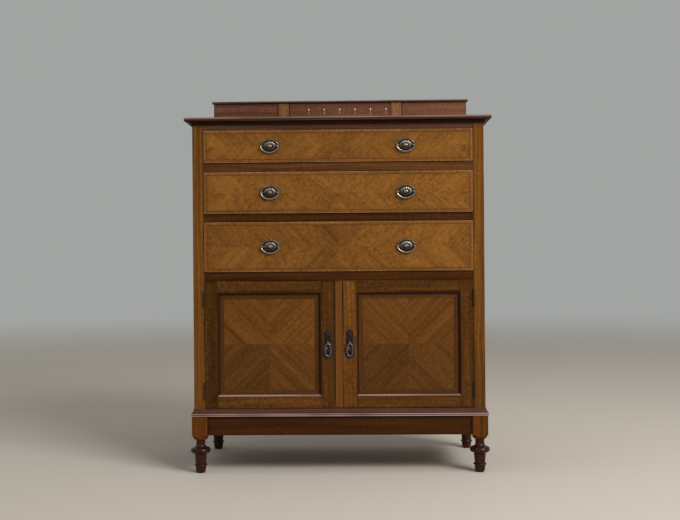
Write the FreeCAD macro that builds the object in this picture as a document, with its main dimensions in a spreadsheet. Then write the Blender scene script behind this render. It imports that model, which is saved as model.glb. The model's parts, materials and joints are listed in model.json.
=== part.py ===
"""A chiffonier: three long drawers over a two-door cupboard, on four turned feet.

Millimetres. The origin is the middle of the box that the whole piece fills, on the floor.
+X is the viewer's right, +Y the back, +Z up. The drawers and doors face -Y.
"""
import FreeCAD, Part
import math
import os
import Sketcher

Vector = FreeCAD.Vector
Rotation = FreeCAD.Rotation
Placement = FreeCAD.Placement

doc = FreeCAD.newDocument("chiffonier")

# ---------------------------------------------------------------- driving dimensions

DRIVING = (
    # the case
    ("case_width", 914, "outside of the case, without the top's overhang"),
    ("case_depth", 457, "front of the posts to the back"),
    ("top_overhang", 23, "of the top board, at the front and the two sides"),
    ("top_thickness", 12, ""),
    ("top_nose_radius", 7.5, "thumb moulding on the top's upper edge"),
    ("top_under_radius", 3, "rounding on the top's lower edge"),
    ("post_width", 34, "corner post, seen from the front"),
    ("post_depth", 45, "corner post, seen from the side"),
    # what the front is made of, from the floor up
    ("foot_height", 103.5, "turned part of the leg"),
    ("block_height", 75.5, "square part of the leg"),
    ("base_height", 24, "base moulding"),
    ("door_height", 400, ""),
    ("lower_rail_height", 25.5, ""),
    ("lower_drawer_height", 156, ""),
    ("middle_rail_height", 24, ""),
    ("middle_drawer_height", 130, ""),
    ("upper_rail_height", 27, ""),
    ("upper_drawer_height", 101, ""),
    ("top_rail_height", 27, ""),
    ("front_gap", 1.5, "clear gap round each drawer and door"),
    ("rail_setback", 1.5, "rails lie this far behind the posts' faces"),
    ("rail_depth", 60, "front to back"),
    # sides and inside
    ("side_rail_thickness", 22, ""),
    ("side_bottom_rail_height", 84, ""),
    ("side_middle_rail_height", 56, ""),
    ("side_top_rail_height", 62, ""),
    ("side_panel_thickness", 8, ""),
    ("side_panel_recess", 7, "panel's face behind the frame's face"),
    ("groove_depth", 8, "grooves that hold the panels"),
    ("groove_slack", 0.5, "room for the panel to swell in its groove"),
    ("back_thickness", 9, "back boards"),
    ("back_rebate", 10, "width of the back posts' rebate"),
    ("back_tongue", 5, "tongue of a back board"),
    ("board_slack", 0.3, "between one back board's tongue and the next one's groove"),
    ("runner_thickness", 20, ""),
    ("runner_width", 30, "part of the runner that stands inside the opening"),
    ("guide_height", 25, "strip beside the drawer, on the runner"),
    ("dust_board_thickness", 6, ""),
    ("dust_groove", 6, "depth of the runners' grooves for the dust board"),
    ("floor_thickness", 18, ""),
    ("shelf_thickness", 16, ""),
    ("shelf_height", 205, "shelf's upper face above the cupboard floor"),
    ("shelf_setback", 80, "shelf's front edge behind the posts' faces"),
    ("shelf_side_slack", 1, ""),
    ("bearer_width", 18, ""),
    ("bearer_height", 20, ""),
    ("muntin_width", 22, "upright between the doors"),
    ("stop_lip", 14, "muntin's lip behind each door"),
    ("stop_lip_thickness", 15, ""),
    ("stop_width", 40, "drawer stop, along X"),
    ("stop_depth", 20, "drawer stop, front to back"),
    ("stop_height", 5, ""),
    ("stop_place", 300, "drawer stops from the middle"),
    ("stop_slack", 0.4, "between a closed drawer or door and its stop"),
    # mouldings
    ("cove_reach", 19, "under-moulding, out from the case"),
    ("cove_height", 11.5, ""),
    ("cove_fillet", 1.5, "flat edges of the under-moulding"),
    ("cove_radius", 15, ""),
    ("base_reach", 9.5, "base moulding, out from the case"),
    ("base_bead_height", 4.8, "each of the base moulding's two beads"),
    ("base_bead_swell", 1.4, "how far each bead swells out"),
    ("base_quirk", 0.6, "flat between the two beads"),
    ("base_step", 1.6, "from the beads back to the slope above them"),
    ("base_hollow_radius", 40, "slight hollow of the slope"),
    ("base_top_edge", 1.5, ""),
    # stand
    ("block_width", 48, "square part of the leg"),
    ("block_proud", 7, "blocks stand out from the case, at the front and the sides"),
    ("shoulder_radius", 15.5, "turning where it meets the block"),
    ("shoulder_round", 11.5, "radius of the block's round shoulder"),
    ("shoulder_height", 11, "shoulder, at the middle of each face"),
    ("shoulder_corner_rise", 6, "how much higher it runs out beyond the block's corners"),
    ("neck_radius", 14.25, ""),
    ("neck_low", 88, "height where the neck flares out to the ring"),
    ("neck_high", 99, "height where the neck flares out to the block"),
    ("neck_flare", 12, "radius of the lower flare"),
    ("neck_top_flare", 9, "radius of the upper flare"),
    ("ring_radius", 31.5, ""),
    ("ring_middle", 71, "height of the ring's widest line"),
    ("ring_height", 18, ""),
    ("column_radius", 18.8, "tapered column under the ring, at its upper end"),
    ("column_foot_radius", 16.4, ""),
    ("column_step", 3, "height of the fillet between the ring and the column"),
    ("bead_middle", 25.2, ""),
    ("bead_radius", 20.75, ""),
    ("bead_height", 6, ""),
    ("toe_radius", 13, "at the floor"),
    ("toe_curve", 45, "radius of the toe's slight swell"),
    ("plinth_height", 59.5, "rails between the leg blocks"),
    ("plinth_thickness", 20, ""),
    # gallery
    ("gallery_width", 898, ""),
    ("gallery_height", 108.5, "without its cap"),
    ("gallery_thickness", 18, ""),
    ("cap_overhang", 6, "at the front and the two ends"),
    ("cap_thickness", 8, ""),
    ("cap_radius", 2.5, ""),
    ("gallery_block_width", 34.8, ""),
    ("gallery_block_place", 200, "from the middle"),
    ("gallery_block_proud", 1.5, ""),
    # drawers
    ("drawer_back_room", 18, "between a closed drawer and the back boards"),
    ("drawer_proud", 3, "fronts stand this far out of the posts' faces"),
    ("drawer_front_thickness", 23, ""),
    ("drawer_side_thickness", 12, ""),
    ("drawer_lap", 10, "front that covers the ends of the sides"),
    ("drawer_back_thickness", 12, ""),
    ("drawer_back_drop", 12, "back's upper edge below the sides'"),
    ("drawer_side_drop", 5, "sides' upper edge below the front's"),
    ("drawer_bottom_thickness", 6, ""),
    ("drawer_bottom_lift", 10, "bottom board above the sides' lower edge"),
    ("drawer_groove", 6, "depth of the bottom board's groove"),
    ("slide_clearance", 0.3, "between a drawer and what it slides on"),
    # drawer handles
    ("handle_place", 213.2, "from the middle"),
    ("plate_half_width", 31.5, ""),
    ("plate_half_height", 24, ""),
    ("plate_end_radius", 19, ""),
    ("plate_thickness", 2, ""),
    ("plate_rim_width", 3.4, ""),
    ("plate_rim_height", 1.3, "above the plate"),
    ("boss_half_width", 17.5, ""),
    ("boss_half_height", 12.5, ""),
    ("boss_end_radius", 9, ""),
    ("boss_height", 3.2, "above the plate"),
    ("boss_fillet", 2.4, ""),
    ("post_place", 23.5, "handle posts from the plate's middle"),
    ("post_radius", 2.6, ""),
    ("post_reach", 5.4, "from the plate to the bail's pins"),
    ("shank_radius", 2, "threaded shank through the drawer front"),
    ("shank_clearance", 0.15, ""),
    ("nut_width", 9, ""),
    ("nut_thickness", 3, ""),
    ("bail_clearance", 0.3, "between the rod and the posts' heads"),
    ("bail_drop", 20, "to the middle of the rod"),
    ("bail_end_radius", 12, ""),
    ("bail_rod_radius", 1.8, ""),
    ("bail_horn", 2.4, "rod above the pins"),
    ("pin_radius", 1.2, ""),
    ("pin_clearance", 0.06, "running clearance of every handle and hinge pin"),
    ("pin_depth", 2.2, "pin inside its post"),
    # doors
    ("door_thickness", 20, ""),
    ("hinge_stile_width", 40, ""),
    ("meeting_stile_width", 43.5, ""),
    ("door_rail_height", 37.25, ""),
    ("door_panel_thickness", 7, ""),
    ("door_panel_recess", 9, "panel's face behind the frame's face"),
    ("door_groove", 7, "grooves that hold the panel"),
    ("bead_reach", 19.5, "panel moulding, in from the frame"),
    ("bead_drop", 0.6, "moulding below the frame's face"),
    ("bead_fillet", 1.2, "flat edges of the panel moulding"),
    ("bead_flat", 13, "low flat of the panel moulding, beside the panel"),
    ("bead_slope", 0.6, "fall of that flat towards the panel"),
    ("bead_round", 6, "round of the panel moulding, above its flat"),
    # door handles
    ("escutcheon_height", 90, ""),
    ("escutcheon_half_width", 17.2, "oval lower part"),
    ("escutcheon_oval_half_height", 26.5, ""),
    ("escutcheon_end_radius", 15, ""),
    ("tongue_radius", 10.8, "round upper part"),
    ("escutcheon_thickness", 2, ""),
    ("stud_height", 51.5, "drop's pivot above the plate's lower end"),
    ("stud_radius", 3.2, ""),
    ("stud_reach", 4.8, "from the plate to the pivot"),
    ("ear_gap", 4.4, "between the stud's two ears"),
    ("ear_thickness", 2.2, ""),
    ("drop_half_width", 9.4, "to the middle of the rod"),
    ("drop_half_height", 19, "to the middle of the rod"),
    ("drop_end_radius", 6.6, ""),
    ("drop_rod_radius", 1.7, ""),
    ("drop_lug_width", 3.8, ""),
    ("drop_lug_radius", 2.6, ""),
    ("drop_clearance", 0.4, "between the ring and the stud's ears"),
    # hinges
    ("hinge_height", 48, ""),
    ("hinge_place", 56, "hinge's middle from the door's end"),
    ("leaf_width", 16, ""),
    ("leaf_thickness", 1.2, ""),
    ("knuckle_radius", 3, ""),
    ("knuckle_proud", 3.3, "hinge pin in front of the posts' faces"),
    ("knuckle_gap", 0.3, "between two knuckles"),
    ("hinge_pin_radius", 1.4, ""),
    ("hinge_pin_head_radius", 2.6, ""),
    ("hinge_pin_head_height", 1.4, ""),
    # ball catches
    ("catch_radius", 4, ""),
    ("catch_proud", 0.8, "ball beyond the muntin's edge"),
    ("catch_ball_radius", 2.5, ""),
)


class Size:
    """A length that knows its number and the expression that gives it."""

    def __init__(self, value, text):
        self.value = value
        self.text = text

    def joined(self, sign, other, value):
        return Size(value, "(%s %s %s)" % (self.text, sign, other.text))

    def __add__(self, other):
        other = as_size(other)
        return self.joined("+", other, self.value + other.value)

    def __sub__(self, other):
        other = as_size(other)
        return self.joined("-", other, self.value - other.value)

    def __mul__(self, other):
        other = as_size(other)
        return self.joined("*", other, self.value * other.value)

    def __truediv__(self, other):
        other = as_size(other)
        return self.joined("/", other, self.value / other.value)

    def __radd__(self, other):
        return as_size(other) + self

    def __rsub__(self, other):
        return as_size(other) - self

    def __rmul__(self, other):
        return as_size(other) * self

    def __neg__(self):
        return as_size(-1) * self

    def __lt__(self, other):
        return self.value < as_size(other).value


def as_size(number):
    if isinstance(number, Size):
        return number
    return Size(float(number), "(%r)" % float(number))


def make_sheet():
    """Write the driving dimensions into a spreadsheet, one row each."""
    made = doc.addObject("Spreadsheet::Sheet", "dims")
    for row, (name, number, remark) in enumerate(DRIVING, 1):
        made.set("A%d" % row, name)
        made.set("B%d" % row, str(number))
        made.setAlias("B%d" % row, name)
        made.set("C%d" % row, remark)
    doc.recompute()
    return made


sheet = make_sheet()


class Dimensions:
    """Gives each cell of the spreadsheet as a Size, by its alias."""

    def __getattr__(self, name):
        return Size(float(getattr(sheet, name)), "dims.%s" % name)


d = Dimensions()
nodes = []

# ---------------------------------------------------------------- ways of making a piece


def bind(piece, property_name, size):
    piece.setExpression(property_name, as_size(size).text)


def place(piece, x, y, z):
    bind(piece, "Placement.Base.x", x)
    bind(piece, "Placement.Base.y", y)
    bind(piece, "Placement.Base.z", z)


def span(first, second):
    """Two sizes, the smaller one first."""
    first = as_size(first)
    second = as_size(second)
    return (second, first) if second < first else (first, second)


def keep(piece, label):
    """Make a piece a sub-part that is handed in."""
    piece.Label = label
    nodes.append(piece)
    return piece


def block(name, x, y, z):
    """A rectangular board from one corner of the box to the other."""
    piece = doc.addObject("Part::Box", name)
    x, y, z = span(*x), span(*y), span(*z)
    bind(piece, "Length", x[1] - x[0])
    bind(piece, "Width", y[1] - y[0])
    bind(piece, "Height", z[1] - z[0])
    place(piece, x[0], y[0], z[0])
    return piece


def rod(name, radius, length, direction, x, y, z):
    """A round bar that starts at a point and runs along a direction."""
    piece = doc.addObject("Part::Cylinder", name)
    piece.Placement = Placement(Vector(), Rotation(Vector(0, 0, 1), direction))
    bind(piece, "Radius", radius)
    bind(piece, "Height", length)
    place(piece, x, y, z)
    return piece


def ball(name, radius, x, y, z):
    piece = doc.addObject("Part::Sphere", name)
    bind(piece, "Radius", radius)
    place(piece, x, y, z)
    return piece


def group(name, pieces):
    """Like pieces that share one node, each one still its own solid."""
    made = doc.addObject("Part::Compound", name)
    made.Links = pieces
    return made


def cut(name, base, tools):
    """Take tools, which stay clear of each other, out of a piece."""
    made = doc.addObject("Part::Cut", name)
    made.Base = base
    made.Tool = tools[0] if len(tools) == 1 else group(name + "_cuts", tools)
    return made


def fuse(name, pieces):
    made = doc.addObject("Part::MultiFuse", name)
    made.Shapes = pieces
    return made


def new_body(name, x=0, y=0, z=0, rotation=None):
    made = doc.addObject("PartDesign::Body", name)
    if rotation:
        made.Placement = Placement(Vector(), rotation)
    place(made, x, y, z)
    return made


def new_sketch(body, name, plane, lift=0):
    """A sketch on one of the body's own planes, lifted along the plane's normal."""
    drawing = body.newObject("Sketcher::SketchObject", name)
    support = next(f for f in body.Origin.OriginFeatures if f.Role == plane + "_Plane")
    drawing.AttachmentSupport = [(support, "")]
    drawing.MapMode = "FlatFace"
    if lift:
        bind(drawing, ".AttachmentOffset.Base.z", lift)
    return drawing


def arc_through(start, end, radius):
    """The short arc between two points; a positive radius turns left, a negative one right."""
    middle = (start + end) / 2
    chord = end - start
    reach = math.sqrt(max(radius * radius - chord.Length ** 2 / 4, 0))
    left = Vector(-chord.y, chord.x, 0) / chord.Length
    centre = middle + left * math.copysign(reach, radius)
    begin, finish = (start, end) if radius > 0 else (end, start)
    first = math.atan2(begin.y - centre.y, begin.x - centre.x)
    last = math.atan2(finish.y - centre.y, finish.x - centre.x)
    return Part.ArcOfCircle(Part.Circle(centre, Vector(0, 0, 1), abs(radius)), first, last)


def draw(drawing, points, closed=True):
    """Draw an outline: each point is (u, v), or (u, v, radius) where an arc arrives at it."""
    count = len(points)
    spots = [Vector(as_size(p[0]).value, as_size(p[1]).value, 0) for p in points]
    starts = []
    ends = []
    for i in range(count if closed else count - 1):
        following = points[(i + 1) % count]
        start, end = spots[i], spots[(i + 1) % count]
        if len(following) == 2:
            edge = drawing.addGeometry(Part.LineSegment(start, end))
            starts.append((edge, 1))
            ends.append((edge, 2))
            continue
        radius = as_size(following[2])
        edge = drawing.addGeometry(arc_through(start, end, radius.value))
        starts.append((edge, 1 if radius.value > 0 else 2))
        ends.append((edge, 2 if radius.value > 0 else 1))
        row = drawing.addConstraint(Sketcher.Constraint("Radius", edge, abs(radius.value)))
        drawing.setExpression("Constraints[%d]" % row, (radius if radius.value > 0 else -radius).text)
    for i in range(len(starts) if closed else len(starts) - 1):
        follower = starts[(i + 1) % len(starts)]
        drawing.addConstraint(Sketcher.Constraint("Coincident", *ends[i], *follower))
    held = starts if closed else starts + ends[-1:]
    for (edge, end), point in zip(held, points):
        for kind, size in zip(("DistanceX", "DistanceY"), point):
            size = as_size(size)
            row = drawing.addConstraint(Sketcher.Constraint(kind, -1, 1, edge, end, size.value))
            drawing.setExpression("Constraints[%d]" % row, size.text)


def draw_circle(drawing, radius, u, v):
    radius, u, v = as_size(radius), as_size(u), as_size(v)
    circle = Part.Circle(Vector(u.value, v.value, 0), Vector(0, 0, 1), radius.value)
    edge = drawing.addGeometry(circle)
    row = drawing.addConstraint(Sketcher.Constraint("Radius", edge, radius.value))
    drawing.setExpression("Constraints[%d]" % row, radius.text)
    for kind, size in (("DistanceX", u), ("DistanceY", v)):
        row = drawing.addConstraint(Sketcher.Constraint(kind, -1, 1, edge, 3, size.value))
        drawing.setExpression("Constraints[%d]" % row, size.text)


def oval_joint(long_half, short_half, end_radius):
    """Where an oval's end arc meets its broad arc: along, across, and the broad arc's radius."""
    side = long_half - end_radius
    slack = short_half - end_radius
    deep = (side * side - slack * slack) / (2 * slack)
    broad_radius = short_half + deep
    share = end_radius / (broad_radius - end_radius)
    return side + side * share, deep * share, broad_radius


def oval(half_width, half_height, end_radius, u=0, v=0):
    """A closed oval, wider than it is high, of four arcs that run smoothly into each other."""
    across, up, broad_radius = oval_joint(half_width, half_height, end_radius)
    return [
        (u + across, v + up, end_radius),
        (u - across, v + up, broad_radius),
        (u - across, v - up, end_radius),
        (u + across, v - up, broad_radius),
    ]


def upright_oval(half_width, half_height, end_radius, v):
    """The same oval, higher than it is wide, with its middle at height v."""
    up, across, broad_radius = oval_joint(half_height, half_width, end_radius)
    return [
        (across, v + up, broad_radius),
        (-across, v + up, end_radius),
        (-across, v - up, broad_radius),
        (across, v - up, end_radius),
    ]


def rectangle(u, v):
    return [(u[0], v[0]), (u[1], v[0]), (u[1], v[1]), (u[0], v[1])]


def pad(body, drawing, length, reverse=False, symmetric=False):
    made = body.newObject("PartDesign::Pad", body.Name + "_pad")
    made.Profile = drawing
    bind(made, "Length", length)
    made.Reversed = reverse
    if symmetric:
        made.SideType = "Symmetric"
    return made


def pocket_through(body, drawing):
    """Cut an outline right through the body, both ways from its plane."""
    made = body.newObject("PartDesign::Pocket", body.Name + "_pocket")
    made.Profile = drawing
    made.Type = "ThroughAll"
    made.SideType = "Symmetric"
    return made


def round_edges(body, radius, chosen):
    """Fillet the edges of the body's last feature that a test picks."""
    doc.recompute()
    last = body.Tip
    names = ["Edge%d" % n for n, edge in enumerate(last.Shape.Edges, 1) if chosen(edge)]
    made = body.newObject("PartDesign::Fillet", body.Name + "_fillet")
    made.Base = (last, names)
    bind(made, "Radius", radius)
    return made


def moulding(name, profile, length, x, y, z, rotation, mitres, reach):
    """A length of moulding: its profile lies in local YZ and runs along local X.

    A mitre at an end takes the corner off the inner side, so that two lengths meet at 45
    degrees round an outside corner ("out"), or off the outer side, for an inside one ("in").
    """
    body = new_body(name, x, y, z, rotation)
    drawing = new_sketch(body, name + "_profile", "YZ")
    draw(drawing, profile)
    pad(body, drawing, length)
    for at_start, kind in zip((True, False), mitres):
        if not kind:
            continue
        end = as_size(0) if at_start else length
        inward = end + reach if at_start else end - reach
        square = (end, 0) if kind == "out" else (end, reach)
        corners = [square, (inward, square[1]), (end, reach - square[1])]
        waste = new_sketch(body, "%s_mitre_%d" % (name, 1 if at_start else 2), "XY")
        draw(waste, corners)
        pocket_through(body, waste)
    return body


# ---------------------------------------------------------------- where things are

FRONT = (d.top_overhang - d.case_depth) / 2
BACK = (d.top_overhang + d.case_depth) / 2
HALF = d.case_width / 2
OPENING = HALF - d.post_width
SIDE_INSIDE = HALF - d.side_rail_thickness
FRONT_POST_BACK = FRONT + d.post_depth
BACK_POST_FRONT = BACK - d.post_depth
BACK_BOARD_FRONT = BACK - d.back_thickness
RAIL_FRONT = FRONT + d.rail_setback
RAIL_BACK = RAIL_FRONT + d.rail_depth
DRAWER_FACE = FRONT - d.drawer_proud
DRAWER_FRONT_BACK = DRAWER_FACE + d.drawer_front_thickness

CASE_BOTTOM = d.foot_height + d.block_height
FLOOR_TOP = CASE_BOTTOM + d.base_height
DOOR_BOTTOM = FLOOR_TOP + d.front_gap
DOOR_TOP = DOOR_BOTTOM + d.door_height
LOWER_RAIL = DOOR_TOP + d.front_gap
LOWER_RAIL_TOP = LOWER_RAIL + d.lower_rail_height
MIDDLE_RAIL = LOWER_RAIL_TOP + d.lower_drawer_height + 2 * d.front_gap
MIDDLE_RAIL_TOP = MIDDLE_RAIL + d.middle_rail_height
UPPER_RAIL = MIDDLE_RAIL_TOP + d.middle_drawer_height + 2 * d.front_gap
UPPER_RAIL_TOP = UPPER_RAIL + d.upper_rail_height
TOP_RAIL = UPPER_RAIL_TOP + d.upper_drawer_height + 2 * d.front_gap
CASE_TOP = TOP_RAIL + d.top_rail_height
TOP_FACE = CASE_TOP + d.top_thickness
GALLERY_TOP = TOP_FACE + d.gallery_height

# each drawer: its number from the top, the rail it runs over and the height of its front
DRAWERS = (
    (1, UPPER_RAIL_TOP, d.upper_drawer_height),
    (2, MIDDLE_RAIL_TOP, d.middle_drawer_height),
    (3, LOWER_RAIL_TOP, d.lower_drawer_height),
)
SIDES = ((-1, "left"), (1, "right"))
TOWARDS_FRONT = Vector(0, -1, 0)
TOWARDS_BACK = Vector(0, 1, 0)
UP = Vector(0, 0, 1)

# the middle of each door's hinges, the lower one first
HINGE_HEIGHTS = (DOOR_BOTTOM + d.hinge_place, DOOR_TOP - d.hinge_place)
HINGE_AXIS_X = OPENING - d.front_gap / 2
HINGE_AXIS_Y = FRONT - d.knuckle_proud

# ---------------------------------------------------------------- the case


def side_rail_levels():
    """Lower and upper edge of each of the three rails of a side."""
    middle = (LOWER_RAIL + LOWER_RAIL_TOP) / 2
    return (
        (CASE_BOTTOM, CASE_BOTTOM + d.side_bottom_rail_height),
        (middle - d.side_middle_rail_height / 2, middle + d.side_middle_rail_height / 2),
        (CASE_TOP - d.side_top_rail_height, CASE_TOP),
    )


def side_panel_levels():
    """Lower and upper edge of each panel, which stands in the rails' grooves."""
    tongue = d.groove_depth - d.groove_slack
    rails = side_rail_levels()
    return tuple((low[1] - tongue, high[0] + tongue) for low, high in zip(rails, rails[1:]))


def panel_thickness_span(side):
    outer = HALF - d.side_panel_recess
    return (side * outer, side * (outer - d.side_panel_thickness))


def posts():
    """Corner posts, grooved for the side panels; the front ones let in the hinges."""
    front = []
    back = []
    for side, hand in SIDES:
        x = (side * OPENING, side * HALF)
        panel_x = panel_thickness_span(side)
        grooves = []
        rear_grooves = []
        for number, (low, high) in enumerate(side_panel_levels()):
            z = (low - d.groove_slack, high + d.groove_slack)
            groove_y = (FRONT_POST_BACK - d.groove_depth, FRONT_POST_BACK)
            grooves.append(block("front_groove_%s_%d" % (hand, number), panel_x, groove_y, z))
            groove_y = (BACK_POST_FRONT, BACK_POST_FRONT + d.groove_depth)
            rear_grooves.append(block("back_groove_%s_%d" % (hand, number), panel_x, groove_y, z))
        for number, middle in enumerate(HINGE_HEIGHTS):
            bed_x = (side * OPENING, side * (OPENING + d.leaf_thickness))
            bed_z = (middle - d.hinge_height / 2, middle + d.hinge_height / 2)
            bed = block("hinge_bed_%s_%d" % (hand, number), bed_x, (FRONT, FRONT + d.leaf_width), bed_z)
            grooves.append(bed)
        whole = block("front_post_%s_blank" % hand, x, (FRONT, FRONT_POST_BACK), (CASE_BOTTOM, CASE_TOP))
        front.append(cut("front_post_%s" % hand, whole, grooves))
        rebate_x = (side * OPENING, side * (OPENING + d.back_rebate))
        rebate = block("rebate_%s" % hand, rebate_x, (BACK_BOARD_FRONT, BACK), (CASE_BOTTOM, CASE_TOP))
        whole = block("back_post_%s_blank" % hand, x, (BACK_POST_FRONT, BACK), (CASE_BOTTOM, CASE_TOP))
        back.append(cut("back_post_%s" % hand, whole, rear_grooves + [rebate]))
    keep(group("front_posts", front), "front_posts")
    keep(group("back_posts", back), "back_posts")


def side_frames():
    """Rails and panels between the front and back posts of each side."""
    rails = []
    panels = []
    y = (FRONT_POST_BACK, BACK_POST_FRONT)
    tongue = d.groove_depth - d.groove_slack
    for side, hand in SIDES:
        panel_x = panel_thickness_span(side)
        levels = side_rail_levels()
        for number, (low, high) in enumerate(levels):
            name = "side_rail_%s_%d" % (hand, number)
            grooves = []
            if number > 0:
                grooves.append(block(name + "_lower_groove", panel_x, y, (low, low + d.groove_depth)))
            if number < len(levels) - 1:
                grooves.append(block(name + "_upper_groove", panel_x, y, (high - d.groove_depth, high)))
            whole = block(name + "_blank", (side * SIDE_INSIDE, side * HALF), y, (low, high))
            rails.append(cut(name, whole, grooves))
        for number, z in enumerate(side_panel_levels()):
            panel_y = (y[0] - tongue, y[1] + tongue)
            panels.append(block("side_panel_%s_%d" % (hand, number), panel_x, panel_y, z))
    keep(group("side_rails", rails), "side_rails")
    keep(group("side_panels", panels), "side_panels")


def front_rails():
    """Rails across the front, between the posts."""
    x = (-OPENING, OPENING)
    keep(block("top_rail", x, (RAIL_FRONT, RAIL_BACK), (TOP_RAIL, CASE_TOP)), "top_rail")
    rails = []
    for number, low, high in (
        (1, UPPER_RAIL, UPPER_RAIL_TOP),
        (2, MIDDLE_RAIL, MIDDLE_RAIL_TOP),
        (3, LOWER_RAIL, LOWER_RAIL_TOP),
    ):
        rails.append(block("drawer_rail_%d" % number, x, (RAIL_FRONT, RAIL_BACK), (low, high)))
    keep(group("drawer_rails", rails), "drawer_rails")
    keep(block("bottom_rail", x, (FRONT, FRONT_POST_BACK), (CASE_BOTTOM, FLOOR_TOP)), "bottom_rail")


def door_muntin():
    """Upright between the doors, with a lip at the back that the doors close against."""
    body = new_body("door_muntin", 0, 0, FLOOR_TOP)
    half = d.muntin_width / 2
    lip = half + d.stop_lip
    lip_front = FRONT + d.door_thickness + d.stop_slack
    lip_back = lip_front + d.stop_lip_thickness
    drawing = new_sketch(body, "muntin_section", "XY")
    draw(drawing, [
        (-half, RAIL_FRONT), (half, RAIL_FRONT), (half, lip_front), (lip, lip_front),
        (lip, lip_back), (-lip, lip_back), (-lip, lip_front), (-half, lip_front),
    ])
    pad(body, drawing, LOWER_RAIL - FLOOR_TOP)
    bore = new_sketch(body, "catch_bore_circle", "YZ")
    draw_circle(bore, d.catch_radius, FRONT + d.door_thickness / 2, catch_height() - FLOOR_TOP)
    pocket_through(body, bore)
    keep(body, "door_muntin")


def catch_height():
    return (DOOR_BOTTOM + DOOR_TOP) / 2


def door_catches():
    """Two brass ball catches, back to back in the muntin; each ball bears on a door's edge."""
    catches = []
    y = FRONT + d.door_thickness / 2
    z = catch_height()
    half = d.muntin_width / 2
    for side, hand in SIDES:
        tube = rod("catch_tube_" + hand, d.catch_radius, half, Vector(side, 0, 0), 0, y, z)
        ball_x = side * (half + d.catch_proud - d.catch_ball_radius)
        knob = ball("catch_ball_" + hand, d.catch_ball_radius, ball_x, y, z)
        catches.append(fuse("catch_" + hand, [tube, knob]))
    keep(group("door_catches", catches), "door_catches")


def drawer_runners():
    """Under each end of each drawer a runner, and on it a guide that keeps the drawer straight."""
    pieces = []
    for number, top, _ in DRAWERS:
        for side, hand in SIDES:
            name = "runner_%d_%s" % (number, hand)
            inner = OPENING - d.runner_width
            x = (side * inner, side * SIDE_INSIDE)
            y = (RAIL_BACK, BACK_POST_FRONT)
            runner = block(name, x, y, (top - d.runner_thickness, top))
            if number == 3:
                groove_x = (side * inner, side * (inner + d.dust_groove))
                groove = block(name + "_groove", groove_x, y, dust_levels())
                runner = cut(name + "_grooved", runner, [groove])
            pieces.append(runner)
            name = "guide_%d_%s" % (number, hand)
            x = (side * OPENING, side * SIDE_INSIDE)
            y = (FRONT_POST_BACK, BACK_POST_FRONT)
            pieces.append(block(name, x, y, (top, top + d.guide_height)))
    keep(group("drawer_runners", pieces), "drawer_runners")


def dust_levels():
    middle = LOWER_RAIL_TOP - d.runner_thickness / 2
    return (middle - d.dust_board_thickness / 2, middle + d.dust_board_thickness / 2)


def inner_boards():
    """Dust board, cupboard floor, shelf and the shelf's bearers."""
    edge = OPENING - d.runner_width + d.dust_groove
    dust = block("dust_board", (-edge, edge), (RAIL_BACK, BACK_POST_FRONT), dust_levels())
    keep(dust, "dust_board")

    floor_y = (FRONT_POST_BACK, BACK_BOARD_FRONT)
    floor_z = (FLOOR_TOP - d.floor_thickness, FLOOR_TOP)
    blank = block("floor_blank", (-SIDE_INSIDE, SIDE_INSIDE), floor_y, floor_z)
    keep(notched("cupboard_floor", blank, floor_z), "cupboard_floor")

    shelf_top = FLOOR_TOP + d.shelf_height
    shelf_z = (shelf_top - d.shelf_thickness, shelf_top)
    shelf_x = SIDE_INSIDE - d.shelf_side_slack
    shelf_y = (FRONT + d.shelf_setback, BACK_BOARD_FRONT)
    blank = block("shelf_blank", (-shelf_x, shelf_x), shelf_y, shelf_z)
    keep(notched("cupboard_shelf", blank, shelf_z), "cupboard_shelf")

    bearers = []
    for side, hand in SIDES:
        x = (side * SIDE_INSIDE, side * (SIDE_INSIDE - d.bearer_width))
        z = (shelf_z[0] - d.bearer_height, shelf_z[0])
        bearers.append(block("bearer_" + hand, x, (FRONT_POST_BACK, BACK_POST_FRONT), z))
    keep(group("shelf_bearers", bearers), "shelf_bearers")


def notched(name, board, z):
    """Cut a board round the two back posts."""
    notches = []
    for side, hand in SIDES:
        x = (side * OPENING, side * HALF)
        notches.append(block("%s_notch_%s" % (name, hand), x, (BACK_POST_FRONT, BACK), z))
    return cut(name, board, notches)


def drawer_stops():
    """Two small blocks on each drawer rail, behind the drawer's front."""
    stops = []
    front = DRAWER_FRONT_BACK + d.stop_slack
    for number, top, _ in DRAWERS:
        for side, hand in SIDES:
            middle = side * d.stop_place
            x = (middle - d.stop_width / 2, middle + d.stop_width / 2)
            name = "stop_%d_%s" % (number, hand)
            stops.append(block(name, x, (front, front + d.stop_depth), (top, top + d.stop_height)))
    keep(group("drawer_stops", stops), "drawer_stops")


BACK_BOARD_COUNT = 6


def back_boards():
    """Upright tongued and grooved boards in the back posts' rebates."""
    boards = []
    edge = OPENING + d.back_rebate
    width = 2 * edge / BACK_BOARD_COUNT
    third = d.back_thickness / 3
    for number in range(BACK_BOARD_COUNT):
        name = "back_board_%d" % (number + 1)
        body = new_body(name, number * width - edge, BACK_BOARD_FRONT, CASE_BOTTOM)
        right = width
        tongue = width + d.back_tongue - d.board_slack
        low = third + d.board_slack / 2
        high = 2 * third - d.board_slack / 2
        outline = [(0, 0)]
        if number < BACK_BOARD_COUNT - 1:
            outline += [(right, 0), (right, low), (tongue, low), (tongue, high), (right, high)]
        else:
            outline += [(right, 0)]
        outline += [(right, d.back_thickness), (0, d.back_thickness)]
        if number > 0:
            outline += [(0, 2 * third), (d.back_tongue, 2 * third), (d.back_tongue, third), (0, third)]
        drawing = new_sketch(body, name + "_section", "XY")
        draw(drawing, outline)
        pad(body, drawing, CASE_TOP - CASE_BOTTOM)
        boards.append(body)
    keep(group("back_boards", boards), "back_boards")


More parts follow.
